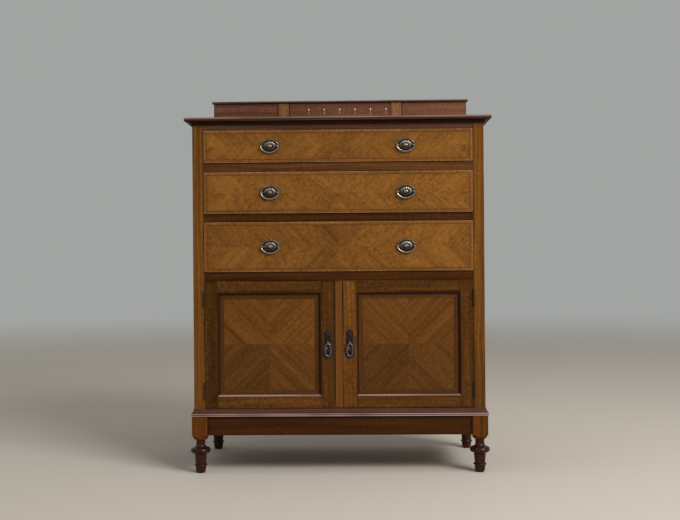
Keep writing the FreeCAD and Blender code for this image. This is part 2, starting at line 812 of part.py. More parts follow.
def top_board():
    """The top, with a thumb moulding round its front and sides."""
    body = new_body("top_board", 0, 0, CASE_TOP)
    half = HALF + d.top_overhang
    drawing = new_sketch(body, "top_outline", "XY")
    draw(drawing, rectangle((-half, half), (FRONT - d.top_overhang, BACK)))
    pad(body, drawing, d.top_thickness)
    back = BACK.value

    def on_shown_edge(edge, level):
        box = edge.BoundBox
        flat = abs(box.ZMin - level) < 0.01 and abs(box.ZMax - level) < 0.01
        return flat and box.YMin < back - 0.01

    round_edges(body, d.top_nose_radius, lambda edge: on_shown_edge(edge, d.top_thickness.value))
    round_edges(body, d.top_under_radius, lambda edge: on_shown_edge(edge, 0))
    keep(body, "top_board")


def case_mouldings(name, profile, reach, level):
    """One moulding round the case: a front length and two sides, mitred at the front corners."""
    front_length = d.case_width + 2 * reach
    side_length = d.case_depth + reach
    pieces = [
        moulding(name + "_front", profile, front_length, HALF + reach, FRONT, level,
                 Rotation(UP, 180), ("out", "out"), reach),
        moulding(name + "_left", profile, side_length, -HALF, FRONT - reach, level,
                 Rotation(UP, 90), ("out", None), reach),
        moulding(name + "_right", profile, side_length, HALF, BACK, level,
                 Rotation(UP, -90), (None, "out"), reach),
    ]
    keep(group(name, pieces), name)


def mouldings():
    """The hollow moulding under the top and the base moulding round the case's foot."""
    reach = d.cove_reach
    height = d.cove_height
    edge = d.cove_fillet
    hollow = [(0, 0), (edge, 0), (reach, height - edge, -d.cove_radius), (reach, height), (0, height)]
    case_mouldings("top_moulding", hollow, reach, CASE_TOP - height)

    reach = d.base_reach
    bead = d.base_bead_height
    swell = d.base_bead_swell
    bead_radius = (bead * bead / 4 + swell * swell) / (2 * swell)
    root = reach - swell
    second = bead + d.base_quirk
    base = [
        (0, 0), (root, 0), (root, bead, bead_radius), (root, second), (root, second + bead, bead_radius),
        (root - d.base_step, second + bead),
        (d.base_top_edge, d.base_height, -d.base_hollow_radius), (0, d.base_height),
    ]
    case_mouldings("base_moulding", base, reach, CASE_BOTTOM)


# ---------------------------------------------------------------- the stand


def leg(name, x, y):
    """A square block whose shoulders are rounded on the lathe, over a turned foot."""
    body = new_body(name, x, y, 0)
    half = d.block_width / 2
    square = new_sketch(body, name + "_square", "XY", d.foot_height)
    draw(square, rectangle((-half, half), (-half, half)))
    pad(body, square, d.block_height)

    corner = half * 1.5
    shoulder = new_sketch(body, name + "_shoulder", "XZ")
    low = d.foot_height
    high = low + d.shoulder_height
    draw(shoulder, [(d.shoulder_radius, low, -d.shoulder_round), (corner, low),
                    (corner, high + d.shoulder_corner_rise), (half, high)])
    turned = body.newObject("PartDesign::Groove", name + "_shoulders")
    turned.Profile = shoulder
    turned.ReferenceAxis = (shoulder, ["V_Axis"])
    turned.Angle = 360

    outline = new_sketch(body, name + "_turning", "XZ")
    ring_round = d.ring_height / 2
    ring_edge = d.ring_radius - ring_round
    ring_low = d.ring_middle - ring_round
    bead_round = d.bead_height / 2
    bead_edge = d.bead_radius - bead_round
    draw(outline, [
        (0, 0), (d.toe_radius, 0),
        (d.column_foot_radius, d.bead_middle - bead_round, d.toe_curve),
        (bead_edge, d.bead_middle - bead_round),
        (d.bead_radius, d.bead_middle, bead_round),
        (bead_edge, d.bead_middle + bead_round, bead_round),
        (d.column_foot_radius, d.bead_middle + bead_round),
        (d.column_radius, ring_low - d.column_step), (ring_edge, ring_low),
        (d.ring_radius, d.ring_middle, ring_round),
        (ring_edge, d.ring_middle + ring_round, ring_round),
        (d.neck_radius, d.neck_low, -d.neck_flare), (d.neck_radius, d.neck_high),
        (d.shoulder_radius, d.foot_height, -d.neck_top_flare), (0, d.foot_height),
    ])
    spun = body.newObject("PartDesign::Revolution", name + "_spun")
    spun.Profile = outline
    spun.ReferenceAxis = (outline, ["V_Axis"])
    spun.Angle = 360
    keep(body, name)


def stand():
    """Four legs and the rails between their blocks."""
    half = d.block_width / 2
    leg_x = HALF + d.block_proud - half
    front_y = FRONT - d.block_proud + half
    back_y = BACK - d.ring_radius
    for side, hand in SIDES:
        leg("leg_front_" + hand, side * leg_x, front_y)
        leg("leg_back_" + hand, side * leg_x, back_y)
    z = (CASE_BOTTOM - d.plinth_height, CASE_BOTTOM)
    x = (half - leg_x, leg_x - half)
    rails = [
        block("plinth_front", x, (FRONT, FRONT + d.plinth_thickness), z),
        block("plinth_back", x, (BACK - d.plinth_thickness, BACK), z),
    ]
    for side, hand in SIDES:
        side_x = (side * (HALF - d.plinth_thickness), side * HALF)
        rails.append(block("plinth_" + hand, side_x, (front_y + half, back_y - half), z))
    keep(group("plinth_rails", rails), "plinth_rails")


# ---------------------------------------------------------------- the gallery


def gallery():
    """The low upstand at the back of the top, with its cap and two light blocks."""
    half = d.gallery_width / 2
    face = BACK - d.gallery_thickness
    keep(block("gallery_board", (-half, half), (face, BACK), (TOP_FACE, GALLERY_TOP)), "gallery_board")

    body = new_body("gallery_cap", 0, 0, GALLERY_TOP)
    end = half + d.cap_overhang
    drawing = new_sketch(body, "cap_outline", "XY")
    draw(drawing, rectangle((-end, end), (face - d.cap_overhang, BACK)))
    pad(body, drawing, d.cap_thickness)
    back = BACK.value
    thickness = d.cap_thickness.value

    def shown(edge):
        box = edge.BoundBox
        level = abs(box.ZMin - box.ZMax) < 0.01 and (box.ZMin < 0.01 or box.ZMin > thickness - 0.01)
        return level and box.YMin < back - 0.01

    round_edges(body, d.cap_radius, shown)
    keep(body, "gallery_cap")

    blocks = []
    for side, hand in SIDES:
        middle = side * d.gallery_block_place
        x = (middle - d.gallery_block_width / 2, middle + d.gallery_block_width / 2)
        y = (face - d.gallery_block_proud, face)
        blocks.append(block("gallery_block_" + hand, x, y, (TOP_FACE, GALLERY_TOP)))
    keep(group("gallery_blocks", blocks), "gallery_blocks")


# ---------------------------------------------------------------- drawers


def handle_spots():
    """Each drawer handle's side, its hand and its middle."""
    return [(side, hand, side * d.handle_place) for side, hand in SIDES]


def drawer(number, rail_top, height):
    """Front, two sides and back, bottom board, and two handles."""
    name = "drawer_%d" % number
    half = OPENING - d.front_gap
    front_low = rail_top + d.front_gap
    front_high = front_low + height
    low = rail_top + d.slide_clearance
    side_high = front_high - d.drawer_side_drop
    end = BACK_BOARD_FRONT - d.drawer_back_room
    groove_z = (low + d.drawer_bottom_lift, low + d.drawer_bottom_lift + d.drawer_bottom_thickness)
    handle_z = front_low + height / 2

    rebates = []
    for side, hand in SIDES:
        rebate_x = (side * (half - d.drawer_side_thickness), side * half)
        rebate_y = (DRAWER_FACE + d.drawer_lap, DRAWER_FRONT_BACK)
        rebates.append(block("%s_rebate_%s" % (name, hand), rebate_x, rebate_y, (front_low, side_high)))
    inner = half - d.drawer_side_thickness
    groove_y = (DRAWER_FRONT_BACK - d.drawer_groove, DRAWER_FRONT_BACK)
    rebates.append(block(name + "_front_groove", (-inner, inner), groove_y, groove_z))
    hole_radius = d.shank_radius + d.shank_clearance
    for side, hand, middle in handle_spots():
        for place_side, place_hand in SIDES:
            x = middle + place_side * d.post_place
            label = "%s_hole_%s_%s" % (name, hand, place_hand)
            hole = rod(label, hole_radius, d.drawer_front_thickness, TOWARDS_BACK, x, DRAWER_FACE,
                       handle_z)
            rebates.append(hole)
    front_y = (DRAWER_FACE, DRAWER_FRONT_BACK)
    blank = block(name + "_front_blank", (-half, half), front_y, (front_low, front_high))
    keep(cut(name + "_front", blank, rebates), name + "_front")

    walls = []
    for side, hand in SIDES:
        x = (side * inner, side * half)
        wall_y = (DRAWER_FACE + d.drawer_lap, end)
        wall = block("%s_side_%s_blank" % (name, hand), x, wall_y, (low, side_high))
        groove_x = (side * inner, side * (inner + d.drawer_groove))
        side_groove_y = (DRAWER_FRONT_BACK - d.drawer_groove, end)
        groove = block("%s_side_groove_%s" % (name, hand), groove_x, side_groove_y, groove_z)
        walls.append(cut("%s_side_%s" % (name, hand), wall, [groove]))
    back_z = (groove_z[1], side_high - d.drawer_back_drop)
    walls.append(block(name + "_back", (-inner, inner), (end - d.drawer_back_thickness, end), back_z))
    keep(group(name + "_box", walls), name + "_box")

    bottom_x = inner + d.drawer_groove
    bottom_y = (DRAWER_FRONT_BACK - d.drawer_groove, end)
    blank = block(name + "_bottom_blank", (-bottom_x, bottom_x), bottom_y, groove_z)
    corners = []
    for side, hand in SIDES:
        x = (side * inner, side * bottom_x)
        y = (bottom_y[0], DRAWER_FRONT_BACK)
        corners.append(block("%s_bottom_corner_%s" % (name, hand), x, y, groove_z))
    keep(cut(name + "_bottom", blank, corners), name + "_bottom")

    fittings = []
    for side, hand, middle in handle_spots():
        fittings += handle_fittings("%s_%s" % (name, hand), middle, handle_z)
    keep(group(name + "_handles", fittings), name + "_handles")
    for side, hand, middle in handle_spots():
        bail("%s_bail_%s" % (name, hand), middle, handle_z)


def handle_fittings(name, x, z):
    """An oval pressed plate, and two posts whose shanks go through the front to square nuts."""
    plate = new_body(name + "_plate", x, DRAWER_FACE, z)
    outer = (d.plate_half_width, d.plate_half_height, d.plate_end_radius)
    inner = tuple(size - d.plate_rim_width for size in outer)
    drawing = new_sketch(plate, name + "_plate_outline", "XZ")
    draw(drawing, oval(*outer))
    pad(plate, drawing, d.plate_thickness)
    rim = new_sketch(plate, name + "_rim_outline", "XZ")
    draw(rim, oval(*outer))
    draw(rim, oval(*inner))
    pad(plate, rim, d.plate_thickness + d.plate_rim_height)
    raised = new_sketch(plate, name + "_boss_outline", "XZ")
    draw(raised, oval(d.boss_half_width, d.boss_half_height, d.boss_end_radius))
    pad(plate, raised, d.plate_thickness + d.boss_height)
    front = -(d.plate_thickness + d.boss_height).value

    def on_boss(edge):
        return abs(edge.BoundBox.YMin - front) < 0.01 and abs(edge.BoundBox.YMax - front) < 0.01

    round_edges(plate, d.boss_fillet, on_boss)
    holes = new_sketch(plate, name + "_plate_holes", "XZ")
    for side, hand in SIDES:
        draw_circle(holes, d.shank_radius + d.shank_clearance, side * d.post_place, 0)
    pocket_through(plate, holes)

    pieces = [plate]
    face = DRAWER_FACE - d.plate_thickness
    pivot = face - d.post_reach
    inside = DRAWER_FRONT_BACK
    for side, hand in SIDES:
        post_x = x + side * d.post_place
        label = "%s_post_%s" % (name, hand)
        shank_length = d.plate_thickness + d.drawer_front_thickness + 2 * d.nut_thickness
        shank = rod(label + "_shank", d.shank_radius, shank_length, TOWARDS_BACK, post_x, face, z)
        stem = rod(label + "_stem", d.post_radius, d.post_reach, TOWARDS_FRONT, post_x, face, z)
        head = ball(label + "_head", d.post_radius, post_x, pivot, z)
        whole = fuse(label + "_whole", [shank, stem, head])
        bore_start = post_x + side * (d.post_radius - d.pin_depth - d.pin_clearance)
        bore = rod(label + "_bore", d.pin_radius + d.pin_clearance, d.post_radius, Vector(side, 0, 0),
                   bore_start, pivot, z)
        pieces.append(cut(label, whole, [bore]))
        nut_x = (post_x - d.nut_width / 2, post_x + d.nut_width / 2)
        nut_z = (z - d.nut_width / 2, z + d.nut_width / 2)
        nut = block(label + "_nut_blank", nut_x, (inside, inside + d.nut_thickness), nut_z)
        hole = rod(label + "_nut_hole", d.shank_radius, d.nut_thickness, TOWARDS_BACK, post_x, inside, z)
        pieces.append(cut(label + "_nut", nut, [hole]))
    return pieces


def bail(name, x, z):
    """The swinging pull: a rod bent to half an oval, with a pin at each end."""
    body = new_body(name, x, DRAWER_FACE - d.plate_thickness - d.post_reach, z)
    half = d.post_place + d.post_radius + d.bail_clearance + d.bail_rod_radius
    across, down, broad_radius = oval_joint(half, d.bail_drop, d.bail_end_radius)
    path = new_sketch(body, name + "_path", "XZ")
    draw(path, [
        (-half, d.bail_horn), (-half, 0), (-across, -down, d.bail_end_radius),
        (across, -down, broad_radius), (half, 0, d.bail_end_radius), (half, d.bail_horn),
    ], closed=False)
    section = new_sketch(body, name + "_section", "XY", d.bail_horn)
    draw_circle(section, d.bail_rod_radius, -half, 0)
    doc.recompute()
    pipe = body.newObject("PartDesign::AdditivePipe", name + "_rod")
    pipe.Profile = section
    pipe.Spine = (path, ["Edge%d" % n for n in range(1, 6)])
    inward = half - d.post_place - d.post_radius + d.pin_depth
    for end, hand in SIDES:
        tip = new_sketch(body, "%s_pin_circle_%s" % (name, hand), "YZ", end * half)
        draw_circle(tip, d.pin_radius, 0, 0)
        pad(body, tip, inward, reverse=end > 0)
    keep(body, name)


# ---------------------------------------------------------------- doors


def door(side, hand):
    """Frame, panel and panel moulding, two hinge leaves, a plate and its drop."""
    name = "door_" + hand
    outer = OPENING - d.front_gap
    inner = d.muntin_width / 2 + d.front_gap
    opening_outer = outer - d.hinge_stile_width
    opening_inner = inner + d.meeting_stile_width
    opening_low = DOOR_BOTTOM + d.door_rail_height
    opening_high = DOOR_TOP - d.door_rail_height
    y = (FRONT, FRONT + d.door_thickness)
    z = (DOOR_BOTTOM, DOOR_TOP)
    panel_face = FRONT + d.door_panel_recess
    groove_y = (panel_face, panel_face + d.door_panel_thickness)
    groove_z = (opening_low - d.door_groove, opening_high + d.door_groove)

    hinge_groove_x = (side * opening_outer, side * (opening_outer + d.door_groove))
    cuts = [block(name + "_hinge_stile_groove", hinge_groove_x, groove_y, groove_z)]
    bed_x = (side * outer, side * (outer - d.leaf_thickness))
    bed_y = (FRONT, FRONT + d.leaf_width)
    for number, middle in enumerate(HINGE_HEIGHTS):
        bed_z = (middle - d.hinge_height / 2, middle + d.hinge_height / 2)
        cuts.append(block("%s_hinge_bed_%d" % (name, number), bed_x, bed_y, bed_z))
    blank = block(name + "_hinge_stile_blank", (side * opening_outer, side * outer), y, z)
    frame = [cut(name + "_hinge_stile", blank, cuts)]
    meeting_groove_x = (side * (opening_inner - d.door_groove), side * opening_inner)
    meeting_groove = block(name + "_meeting_groove", meeting_groove_x, groove_y, groove_z)
    blank = block(name + "_meeting_stile_blank", (side * inner, side * opening_inner), y, z)
    frame.append(cut(name + "_meeting_stile", blank, [meeting_groove]))
    rail_x = (side * opening_inner, side * opening_outer)
    for label, low, high, groove in (
        ("lower", DOOR_BOTTOM, opening_low, (opening_low - d.door_groove, opening_low)),
        ("upper", opening_high, DOOR_TOP, (opening_high, opening_high + d.door_groove)),
    ):
        blank = block("%s_%s_rail_blank" % (name, label), rail_x, y, (low, high))
        groove_cut = block("%s_%s_rail_groove" % (name, label), rail_x, groove_y, groove)
        frame.append(cut("%s_%s_rail" % (name, label), blank, [groove_cut]))
    keep(group(name + "_frame", frame), name + "_frame")

    tongue = d.door_groove - d.groove_slack
    panel_x = (side * (opening_inner - tongue), side * (opening_outer + tongue))
    panel_z = (opening_low - tongue, opening_high + tongue)
    keep(block(name + "_panel", panel_x, groove_y, panel_z), name + "_panel")

    panel_moulding(name, span(*rail_x), (opening_low, opening_high), panel_face)
    door_hinge_leaves(name, side, outer)
    middle_x = side * (inner + d.meeting_stile_width / 2)
    plate_low = (DOOR_BOTTOM + DOOR_TOP) / 2 - d.escutcheon_height / 2
    escutcheon(name + "_plate", middle_x, plate_low)
    drop(name + "_drop", middle_x, plate_low + d.stud_height)


def panel_moulding(name, x, z, panel_face):
    """Four mitred lengths of moulding in the corner of frame and panel: a round over a low flat."""
    reach = d.bead_reach
    height = d.door_panel_recess - d.bead_drop
    edge = d.bead_fillet
    profile = [
        (0, 0), (reach, 0), (reach, edge), (reach - d.bead_flat, edge + d.bead_slope),
        (edge, height, d.bead_round), (0, height),
    ]
    width = x[1] - x[0]
    rise = z[1] - z[0]
    flat = Rotation(Vector(1, 0, 0), 90)
    pieces = []
    for turn, (length, corner_x, corner_z) in enumerate((
        (width, x[0], z[0]), (rise, x[1], z[0]), (width, x[1], z[1]), (rise, x[0], z[1]),
    )):
        turned = Rotation(Vector(0, 1, 0), -90 * turn).multiply(flat)
        label = "%s_moulding_%d" % (name, turn + 1)
        pieces.append(moulding(label, profile, length, corner_x, panel_face, corner_z,
                               turned, ("in", "in"), reach))
    keep(group(name + "_moulding", pieces), name + "_moulding")


def escutcheon(name, x, low):
    """A pressed plate: an oval with a round tongue above it, and a forked stud for the drop."""
    body = new_body(name, x, FRONT, low)
    half_height = d.escutcheon_oval_half_height
    lower = new_sketch(body, name + "_oval", "XZ")
    draw(lower, upright_oval(d.escutcheon_half_width, half_height, d.escutcheon_end_radius, half_height))
    pad(body, lower, d.escutcheon_thickness)
    upper = new_sketch(body, name + "_tongue", "XZ")
    radius = d.tongue_radius
    top = d.escutcheon_height - radius
    draw(upper, [(-radius, half_height), (radius, half_height), (radius, top),
                 (0, top + radius, radius), (-radius, top, radius)])
    pad(body, upper, d.escutcheon_thickness)
    reach = -(d.escutcheon_thickness + d.stud_reach)
    root = -d.escutcheon_thickness / 2
    radius = d.stud_radius
    low = d.stud_height - radius
    high = d.stud_height + radius
    for side, hand in SIDES:
        ear = new_sketch(body, "%s_ear_%s" % (name, hand), "YZ", side * d.ear_gap / 2)
        draw(ear, [(root, low), (root, high), (reach, high),
                   (reach - radius, d.stud_height, radius), (reach, low, radius)])
        pad(body, ear, d.ear_thickness, reverse=side < 0)
    bore = new_sketch(body, name + "_bore", "YZ")
    draw_circle(bore, d.pin_radius + d.pin_clearance, reach, d.stud_height)
    pocket_through(body, bore)
    keep(body, name)


def drop(name, x, z):
    """The hanging pull of a door: an oval ring under a lug with a cross pin."""
    body = new_body(name, x, FRONT - d.escutcheon_thickness - d.stud_reach, z)
    hang = d.stud_radius + d.drop_clearance + d.drop_rod_radius
    middle = -(hang + d.drop_half_height)
    outline = upright_oval(d.drop_half_width, d.drop_half_height, d.drop_end_radius, middle)
    path = new_sketch(body, name + "_path", "XZ")
    draw(path, [(d.drop_half_width, middle, outline[0][2])] + outline)
    section = new_sketch(body, name + "_section", "XY", middle)
    draw_circle(section, d.drop_rod_radius, d.drop_half_width, 0)
    doc.recompute()
    ring = body.newObject("PartDesign::AdditivePipe", name + "_ring")
    ring.Profile = section
    ring.Spine = (path, ["Edge%d" % n for n in range(1, 6)])
    lug = new_sketch(body, name + "_lug", "YZ")
    radius = d.drop_lug_radius
    neck = -hang
    draw(lug, [(radius, 0), (0, radius, radius), (-radius, 0, radius),
               (-radius / 2, neck), (radius / 2, neck)])
    pad(body, lug, d.drop_lug_width, symmetric=True)
    pin = new_sketch(body, name + "_pin", "YZ")
    draw_circle(pin, d.pin_radius, 0, 0)
    pad(body, pin, d.ear_gap + 2 * d.ear_thickness, symmetric=True)
    keep(body, name)


KNUCKLES = 5


def hinge_leaf(name, side, edge, inward, middle, first):
    """A leaf let into the wood, with every second knuckle from the first one."""
    low = middle - d.hinge_height / 2
    z = (low, low + d.hinge_height)
    x = (side * edge, side * (edge + inward * d.leaf_thickness))
    parts = [block(name + "_leaf", x, (FRONT, FRONT + d.leaf_width), z)]
    step = d.hinge_height / KNUCKLES
    for number in range(first, KNUCKLES, 2):
        start = low + number * step + d.knuckle_gap / 2
        length = step - d.knuckle_gap
        label = "%s_knuckle_%d" % (name, number)
        parts.append(block(label + "_neck", x, (HINGE_AXIS_Y, FRONT), (start, start + length)))
        parts.append(rod(label, d.knuckle_radius, length, UP, side * HINGE_AXIS_X, HINGE_AXIS_Y, start))
    bore = rod(name + "_bore", d.hinge_pin_radius + d.pin_clearance, d.hinge_height, UP,
               side * HINGE_AXIS_X, HINGE_AXIS_Y, low)
    return cut(name, fuse(name + "_whole", parts), [bore])


def door_hinge_leaves(name, side, outer):
    leaves = []
    for number, middle in enumerate(HINGE_HEIGHTS):
        leaves.append(hinge_leaf("%s_leaf_%d" % (name, number + 1), side, outer, -1, middle, 1))
    keep(group(name + "_hinges", leaves), name + "_hinges")


def post_hinges():
    """The hinge leaves let into the posts, and the hinge pins."""
    leaves = []
    pins = []
    for side, hand in SIDES:
        for number, middle in enumerate(HINGE_HEIGHTS):
            name = "post_leaf_%s_%d" % (hand, number + 1)
            leaves.append(hinge_leaf(name, side, OPENING, 1, middle, 0))
            label = "hinge_pin_%s_%d" % (hand, number + 1)
            low = middle - d.hinge_height / 2
            shaft = rod(label + "_shaft", d.hinge_pin_radius, d.hinge_height, UP,
                        side * HINGE_AXIS_X, HINGE_AXIS_Y, low)
            top = rod(label + "_head", d.hinge_pin_head_radius, d.hinge_pin_head_height, UP,
                      side * HINGE_AXIS_X, HINGE_AXIS_Y, low + d.hinge_height)
            foot = rod(label + "_foot", d.hinge_pin_head_radius, d.hinge_pin_head_height, UP,
                       side * HINGE_AXIS_X, HINGE_AXIS_Y, low - d.hinge_pin_head_height)
            pins.append(fuse(label, [shaft, top, foot]))
    keep(group("hinge_leaves", leaves), "hinge_leaves")
    keep(group("hinge_pins", pins), "hinge_pins")


# ---------------------------------------------------------------- build and write


def check_document():
    """Stop if any object failed or any sub-part's shape is empty or not valid."""
    for piece in doc.Objects:
        if "Invalid" in piece.State or "Error" in piece.State:
            raise RuntimeError("%s did not compute: %s" % (piece.Label, piece.State))
    for piece in nodes:
        if piece.Shape.isNull() or not piece.Shape.isValid() or not piece.Shape.Solids:
            raise RuntimeError("%s has no valid solid" % piece.Label)


def write_parts():
    os.makedirs("parts", exist_ok=True)
    for piece in nodes:
        piece.Shape.exportStep("parts/%s.step" % piece.Label)


posts()
side_frames()
front_rails()
door_muntin()
door_catches()
drawer_runners()
inner_boards()
drawer_stops()
back_boards()
top_board()
mouldings()
stand()
gallery()
for drawer_number, drawer_rail_top, drawer_height in DRAWERS:
    drawer(drawer_number, drawer_rail_top, drawer_height)
for door_side, door_hand in SIDES:
    door(door_side, door_hand)
post_hinges()

doc.recompute()
check_document()
write_parts()
print(len(nodes), "nodes written")
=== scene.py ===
"""A chiffonier, finished: polished mahogany, matched veneers, light inlay and aged brass.

Metres. +X is the viewer's right, +Y the back, +Z up; the origin is on the floor, in the middle.
"""

import json
import math
import random

import bmesh
import bpy
from mathutils import Matrix, Vector


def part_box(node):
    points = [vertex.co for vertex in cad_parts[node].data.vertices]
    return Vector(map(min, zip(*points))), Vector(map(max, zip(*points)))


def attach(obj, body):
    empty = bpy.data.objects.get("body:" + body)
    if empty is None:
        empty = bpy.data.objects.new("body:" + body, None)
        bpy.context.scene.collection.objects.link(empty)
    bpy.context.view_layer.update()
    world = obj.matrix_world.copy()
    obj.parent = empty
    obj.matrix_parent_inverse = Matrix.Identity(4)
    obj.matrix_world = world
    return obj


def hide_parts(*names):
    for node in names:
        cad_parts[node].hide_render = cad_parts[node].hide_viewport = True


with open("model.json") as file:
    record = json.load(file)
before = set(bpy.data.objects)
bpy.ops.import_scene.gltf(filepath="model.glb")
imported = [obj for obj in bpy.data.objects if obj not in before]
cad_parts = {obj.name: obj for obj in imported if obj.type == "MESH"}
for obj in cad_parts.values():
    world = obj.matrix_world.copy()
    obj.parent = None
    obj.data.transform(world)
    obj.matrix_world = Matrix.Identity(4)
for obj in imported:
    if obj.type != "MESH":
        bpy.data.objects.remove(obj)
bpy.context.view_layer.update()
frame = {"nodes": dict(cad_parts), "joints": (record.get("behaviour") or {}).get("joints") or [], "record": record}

# ------------------------ posts, side frames, front rails
# The case is a mahogany frame: four corner posts, three rails at each side with panels held in
# grooves between them, and rails across the front. Each board is planed, its sharp edges are
# eased with a stroke of the plane, and the whole is stained and French polished.

MM = 0.001
WELD = 1e5
FLAT = math.radians(0.5)
CORNER = math.radians(50)
EASED = 0.6 * MM
GRAIN_SPREAD = 9.0
BOARD_TONES = (0.96, 1.04)
NOTES = (("grain", 3), ("place", 3), ("reach", 3), ("tone", 1), ("relief", 1))
ALONG_X, ALONG_Y, ALONG_Z = Vector((1, 0, 0)), Vector((0, 1, 0)), Vector((0, 0, 1))

cad = frame["nodes"]
body_of = {n: b for b, members in frame["record"]["behaviour"]["bodies"].items() for n in members}
chance = random.Random(1905)


def welded(point):
    """A point in whole steps, alike for corners that touch."""
    return tuple(round(c * WELD) for c in point)


def solids_in(node):
    """Each closed solid of a node, with welded corners and whole flat faces. A solid is complete
    when no edge is waiting for its second face."""
    mesh = cad[node].data
    spots = [welded(vertex.co) for vertex in mesh.vertices]
    found, waiting = [], set()
    solid, corners = bmesh.new(), {}
    for face in mesh.polygons:
        keys = [spots[i] for i in face.vertices]
        for key, i in zip(keys, face.vertices):
            if key not in corners:
                corners[key] = solid.verts.new(mesh.vertices[i].co)
        if len(set(keys)) == len(keys):
            solid.faces.new([corners[key] for key in keys])
        for start, end in zip(keys, keys[1:] + keys[:1]):
            if start != end:
                waiting ^= {frozenset((start, end))}
        if not waiting:
            bmesh.ops.dissolve_limit(solid, angle_limit=FLAT, verts=solid.verts, edges=solid.edges)
            found.append(solid)
            solid, corners = bmesh.new(), {}
    solid.free()
    return found


def box_of(shape):
    ways = list(zip(*(vertex.co for vertex in shape.verts)))
    return Vector(map(min, ways)), Vector(map(max, ways))


def ease_edges(shape, width=EASED, chosen=None):
    """Round off the sharp outside edges, or those of them that a test picks."""
    edges = [e for e in shape.edges if len(e.link_faces) == 2 and e.is_convex]
    edges = [e for e in edges if e.calc_face_angle() > CORNER and (not chosen or chosen(e))]
    bmesh.ops.bevel(shape, geom=edges, offset=width, offset_type="OFFSET", segments=2,
                    profile=0.5, affect="EDGES", clamp_overlap=True)


def new_batch():
    batch = {"points": [], "faces": [], "finish": []}
    batch.update((note, []) for note, _ in NOTES)
    return batch


def add_shape(batch, shape, along=None, tone=1.0, finish=0, whole=None, grain_at=None,
              rubbed=None, fade=None):
    """Add a shape to a mesh in the making, noting at each point where it lies in its board.

    along is the way the grain runs, if not the long way; whole is the box of the whole board;
    grain_at gives a point's place in the grain where leaves have to match; finish is a finish's
    number, or gives it for a face. The last two are given a point: the first tells from 0 to 1
    how pale it is made, where polish or brass has thinned with use and, on the nosing, the bead
    crests, the cap and the door moulding's lowest round, as a painted highlight; the second
    scales its tone, for a board's own tone and for painted light and shade.
    """
    low, high = whole or box_of(shape)
    centre, reach = (low + high) / 2, (high - low) / 2
    if along is None:
        along = (ALONG_X, ALONG_Y, ALONG_Z)[list(reach).index(max(reach))]
    depth = ALONG_X if abs(along.y) > 0.5 else ALONG_Y
    across = depth.cross(along)
    shift = Vector() if grain_at else Vector(chance.uniform(-GRAIN_SPREAD, GRAIN_SPREAD) for _ in range(3))
    first = len(batch["points"])
    shape.verts.index_update()
    for vertex in shape.verts:
        place = vertex.co - centre
        grain = grain_at(vertex.co) if grain_at else Vector((place @ along, place @ across, place @ depth))
        batch["points"].append(vertex.co.copy())
        batch["grain"].extend(grain + shift)
        batch["place"].extend(place)
        batch["reach"].extend(reach)
        batch["tone"].append(tone * fade(vertex.co) if fade else tone)
        batch["relief"].append(rubbed(vertex.co) if rubbed else 0.0)
    for face in shape.faces:
        batch["faces"].append([first + vertex.index for vertex in face.verts])
        batch["finish"].append(finish(face) if callable(finish) else finish)
    shape.free()


def new_object(name, data):
    made = bpy.data.objects.new(name, data)
    bpy.context.scene.collection.objects.link(made)
    return made


def make_piece(name, batch, finishes, body, stands_for=(), smooth=None):
    """Turn a batch into a piece that rides on a body; smooth is the least angle of a sharp edge."""
    mesh = bpy.data.meshes.new(name)
    mesh.from_pydata(batch["points"], [], batch["faces"])
    for finish in finishes:
        mesh.materials.append(finish)
    mesh.polygons.foreach_set("material_index", batch["finish"])
    for note, width in NOTES:
        kind, field = ("FLOAT_VECTOR", "vector") if width == 3 else ("FLOAT", "value")
        mesh.attributes.new(note, kind, "POINT").data.foreach_set(field, batch[note])
    if smooth:
        mesh.polygons.foreach_set("use_smooth", [True] * len(mesh.polygons))
        mesh.set_sharp_from_angle(angle=math.radians(smooth))
    mesh.update()
    made = new_object(name, mesh)
    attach(made, body)
    if stands_for:
        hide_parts(*stands_for)


def remake(node, finishes, work=None, name=None, slot=None, smooth=None, **notes):
    """Replace a node by the same solids, finished; work is done on each of them, and may
    return more notes for add_shape."""
    batch = new_batch()
    for shape in solids_in(node):
        found = work(shape) if work else None
        add_shape(batch, shape, **notes, **(found or {}))
    name = name or "finished_" + node
    make_piece(name, batch, finishes, body_of[node], [node], smooth)


def dress(node, finish, eased=EASED, tone=None, smooth=None, **notes):
    """Replace a node of plain boards by the same boards, planed, eased and finished."""
    def plane(shape):
        low, high = box_of(shape)
        if eased:
            ease_edges(shape, eased)
        shade = tone((low + high) / 2) if tone else 1.0
        return {"tone": shade * chance.uniform(*BOARD_TONES)}

    remake(node, [finish], plane, smooth=smooth, **notes)


def wire(tree, kind, inputs=None, output=0, **settings):
    """Add a node with its settings, plug or set its inputs, and return one of its outputs."""
    node = tree.nodes.new(kind)
    for key, value in settings.items():
        setattr(node, key, value)
    for key, value in (inputs or {}).items():
        if isinstance(value, bpy.types.NodeSocket):
            tree.links.new(value, node.inputs[key])
        else:
            node.inputs[key].default_value = value
    return node.outputs[output]


def calc(tree, operation, first, second=0.0, third=0.0):
    return wire(tree, "ShaderNodeMath", {0: first, 1: second, 2: third}, operation=operation)


def spread(tree, value, low, high, to_low=0.0, to_high=1.0):
    inputs = {0: value, 1: low, 2: high, 3: to_low, 4: to_high}
    return wire(tree, "ShaderNodeMapRange", inputs, interpolation_type="SMOOTHSTEP")


def vector(tree, operation, *parts):
    """Work on vectors; a plain number stands for all three of a vector's parts."""
    return wire(tree, "ShaderNodeVectorMath", dict(enumerate(parts)), operation=operation)


def triple(tree, x=0.0, y=0.0, z=0.0):
    return wire(tree, "ShaderNodeCombineXYZ", {0: x, 1: y, 2: z})


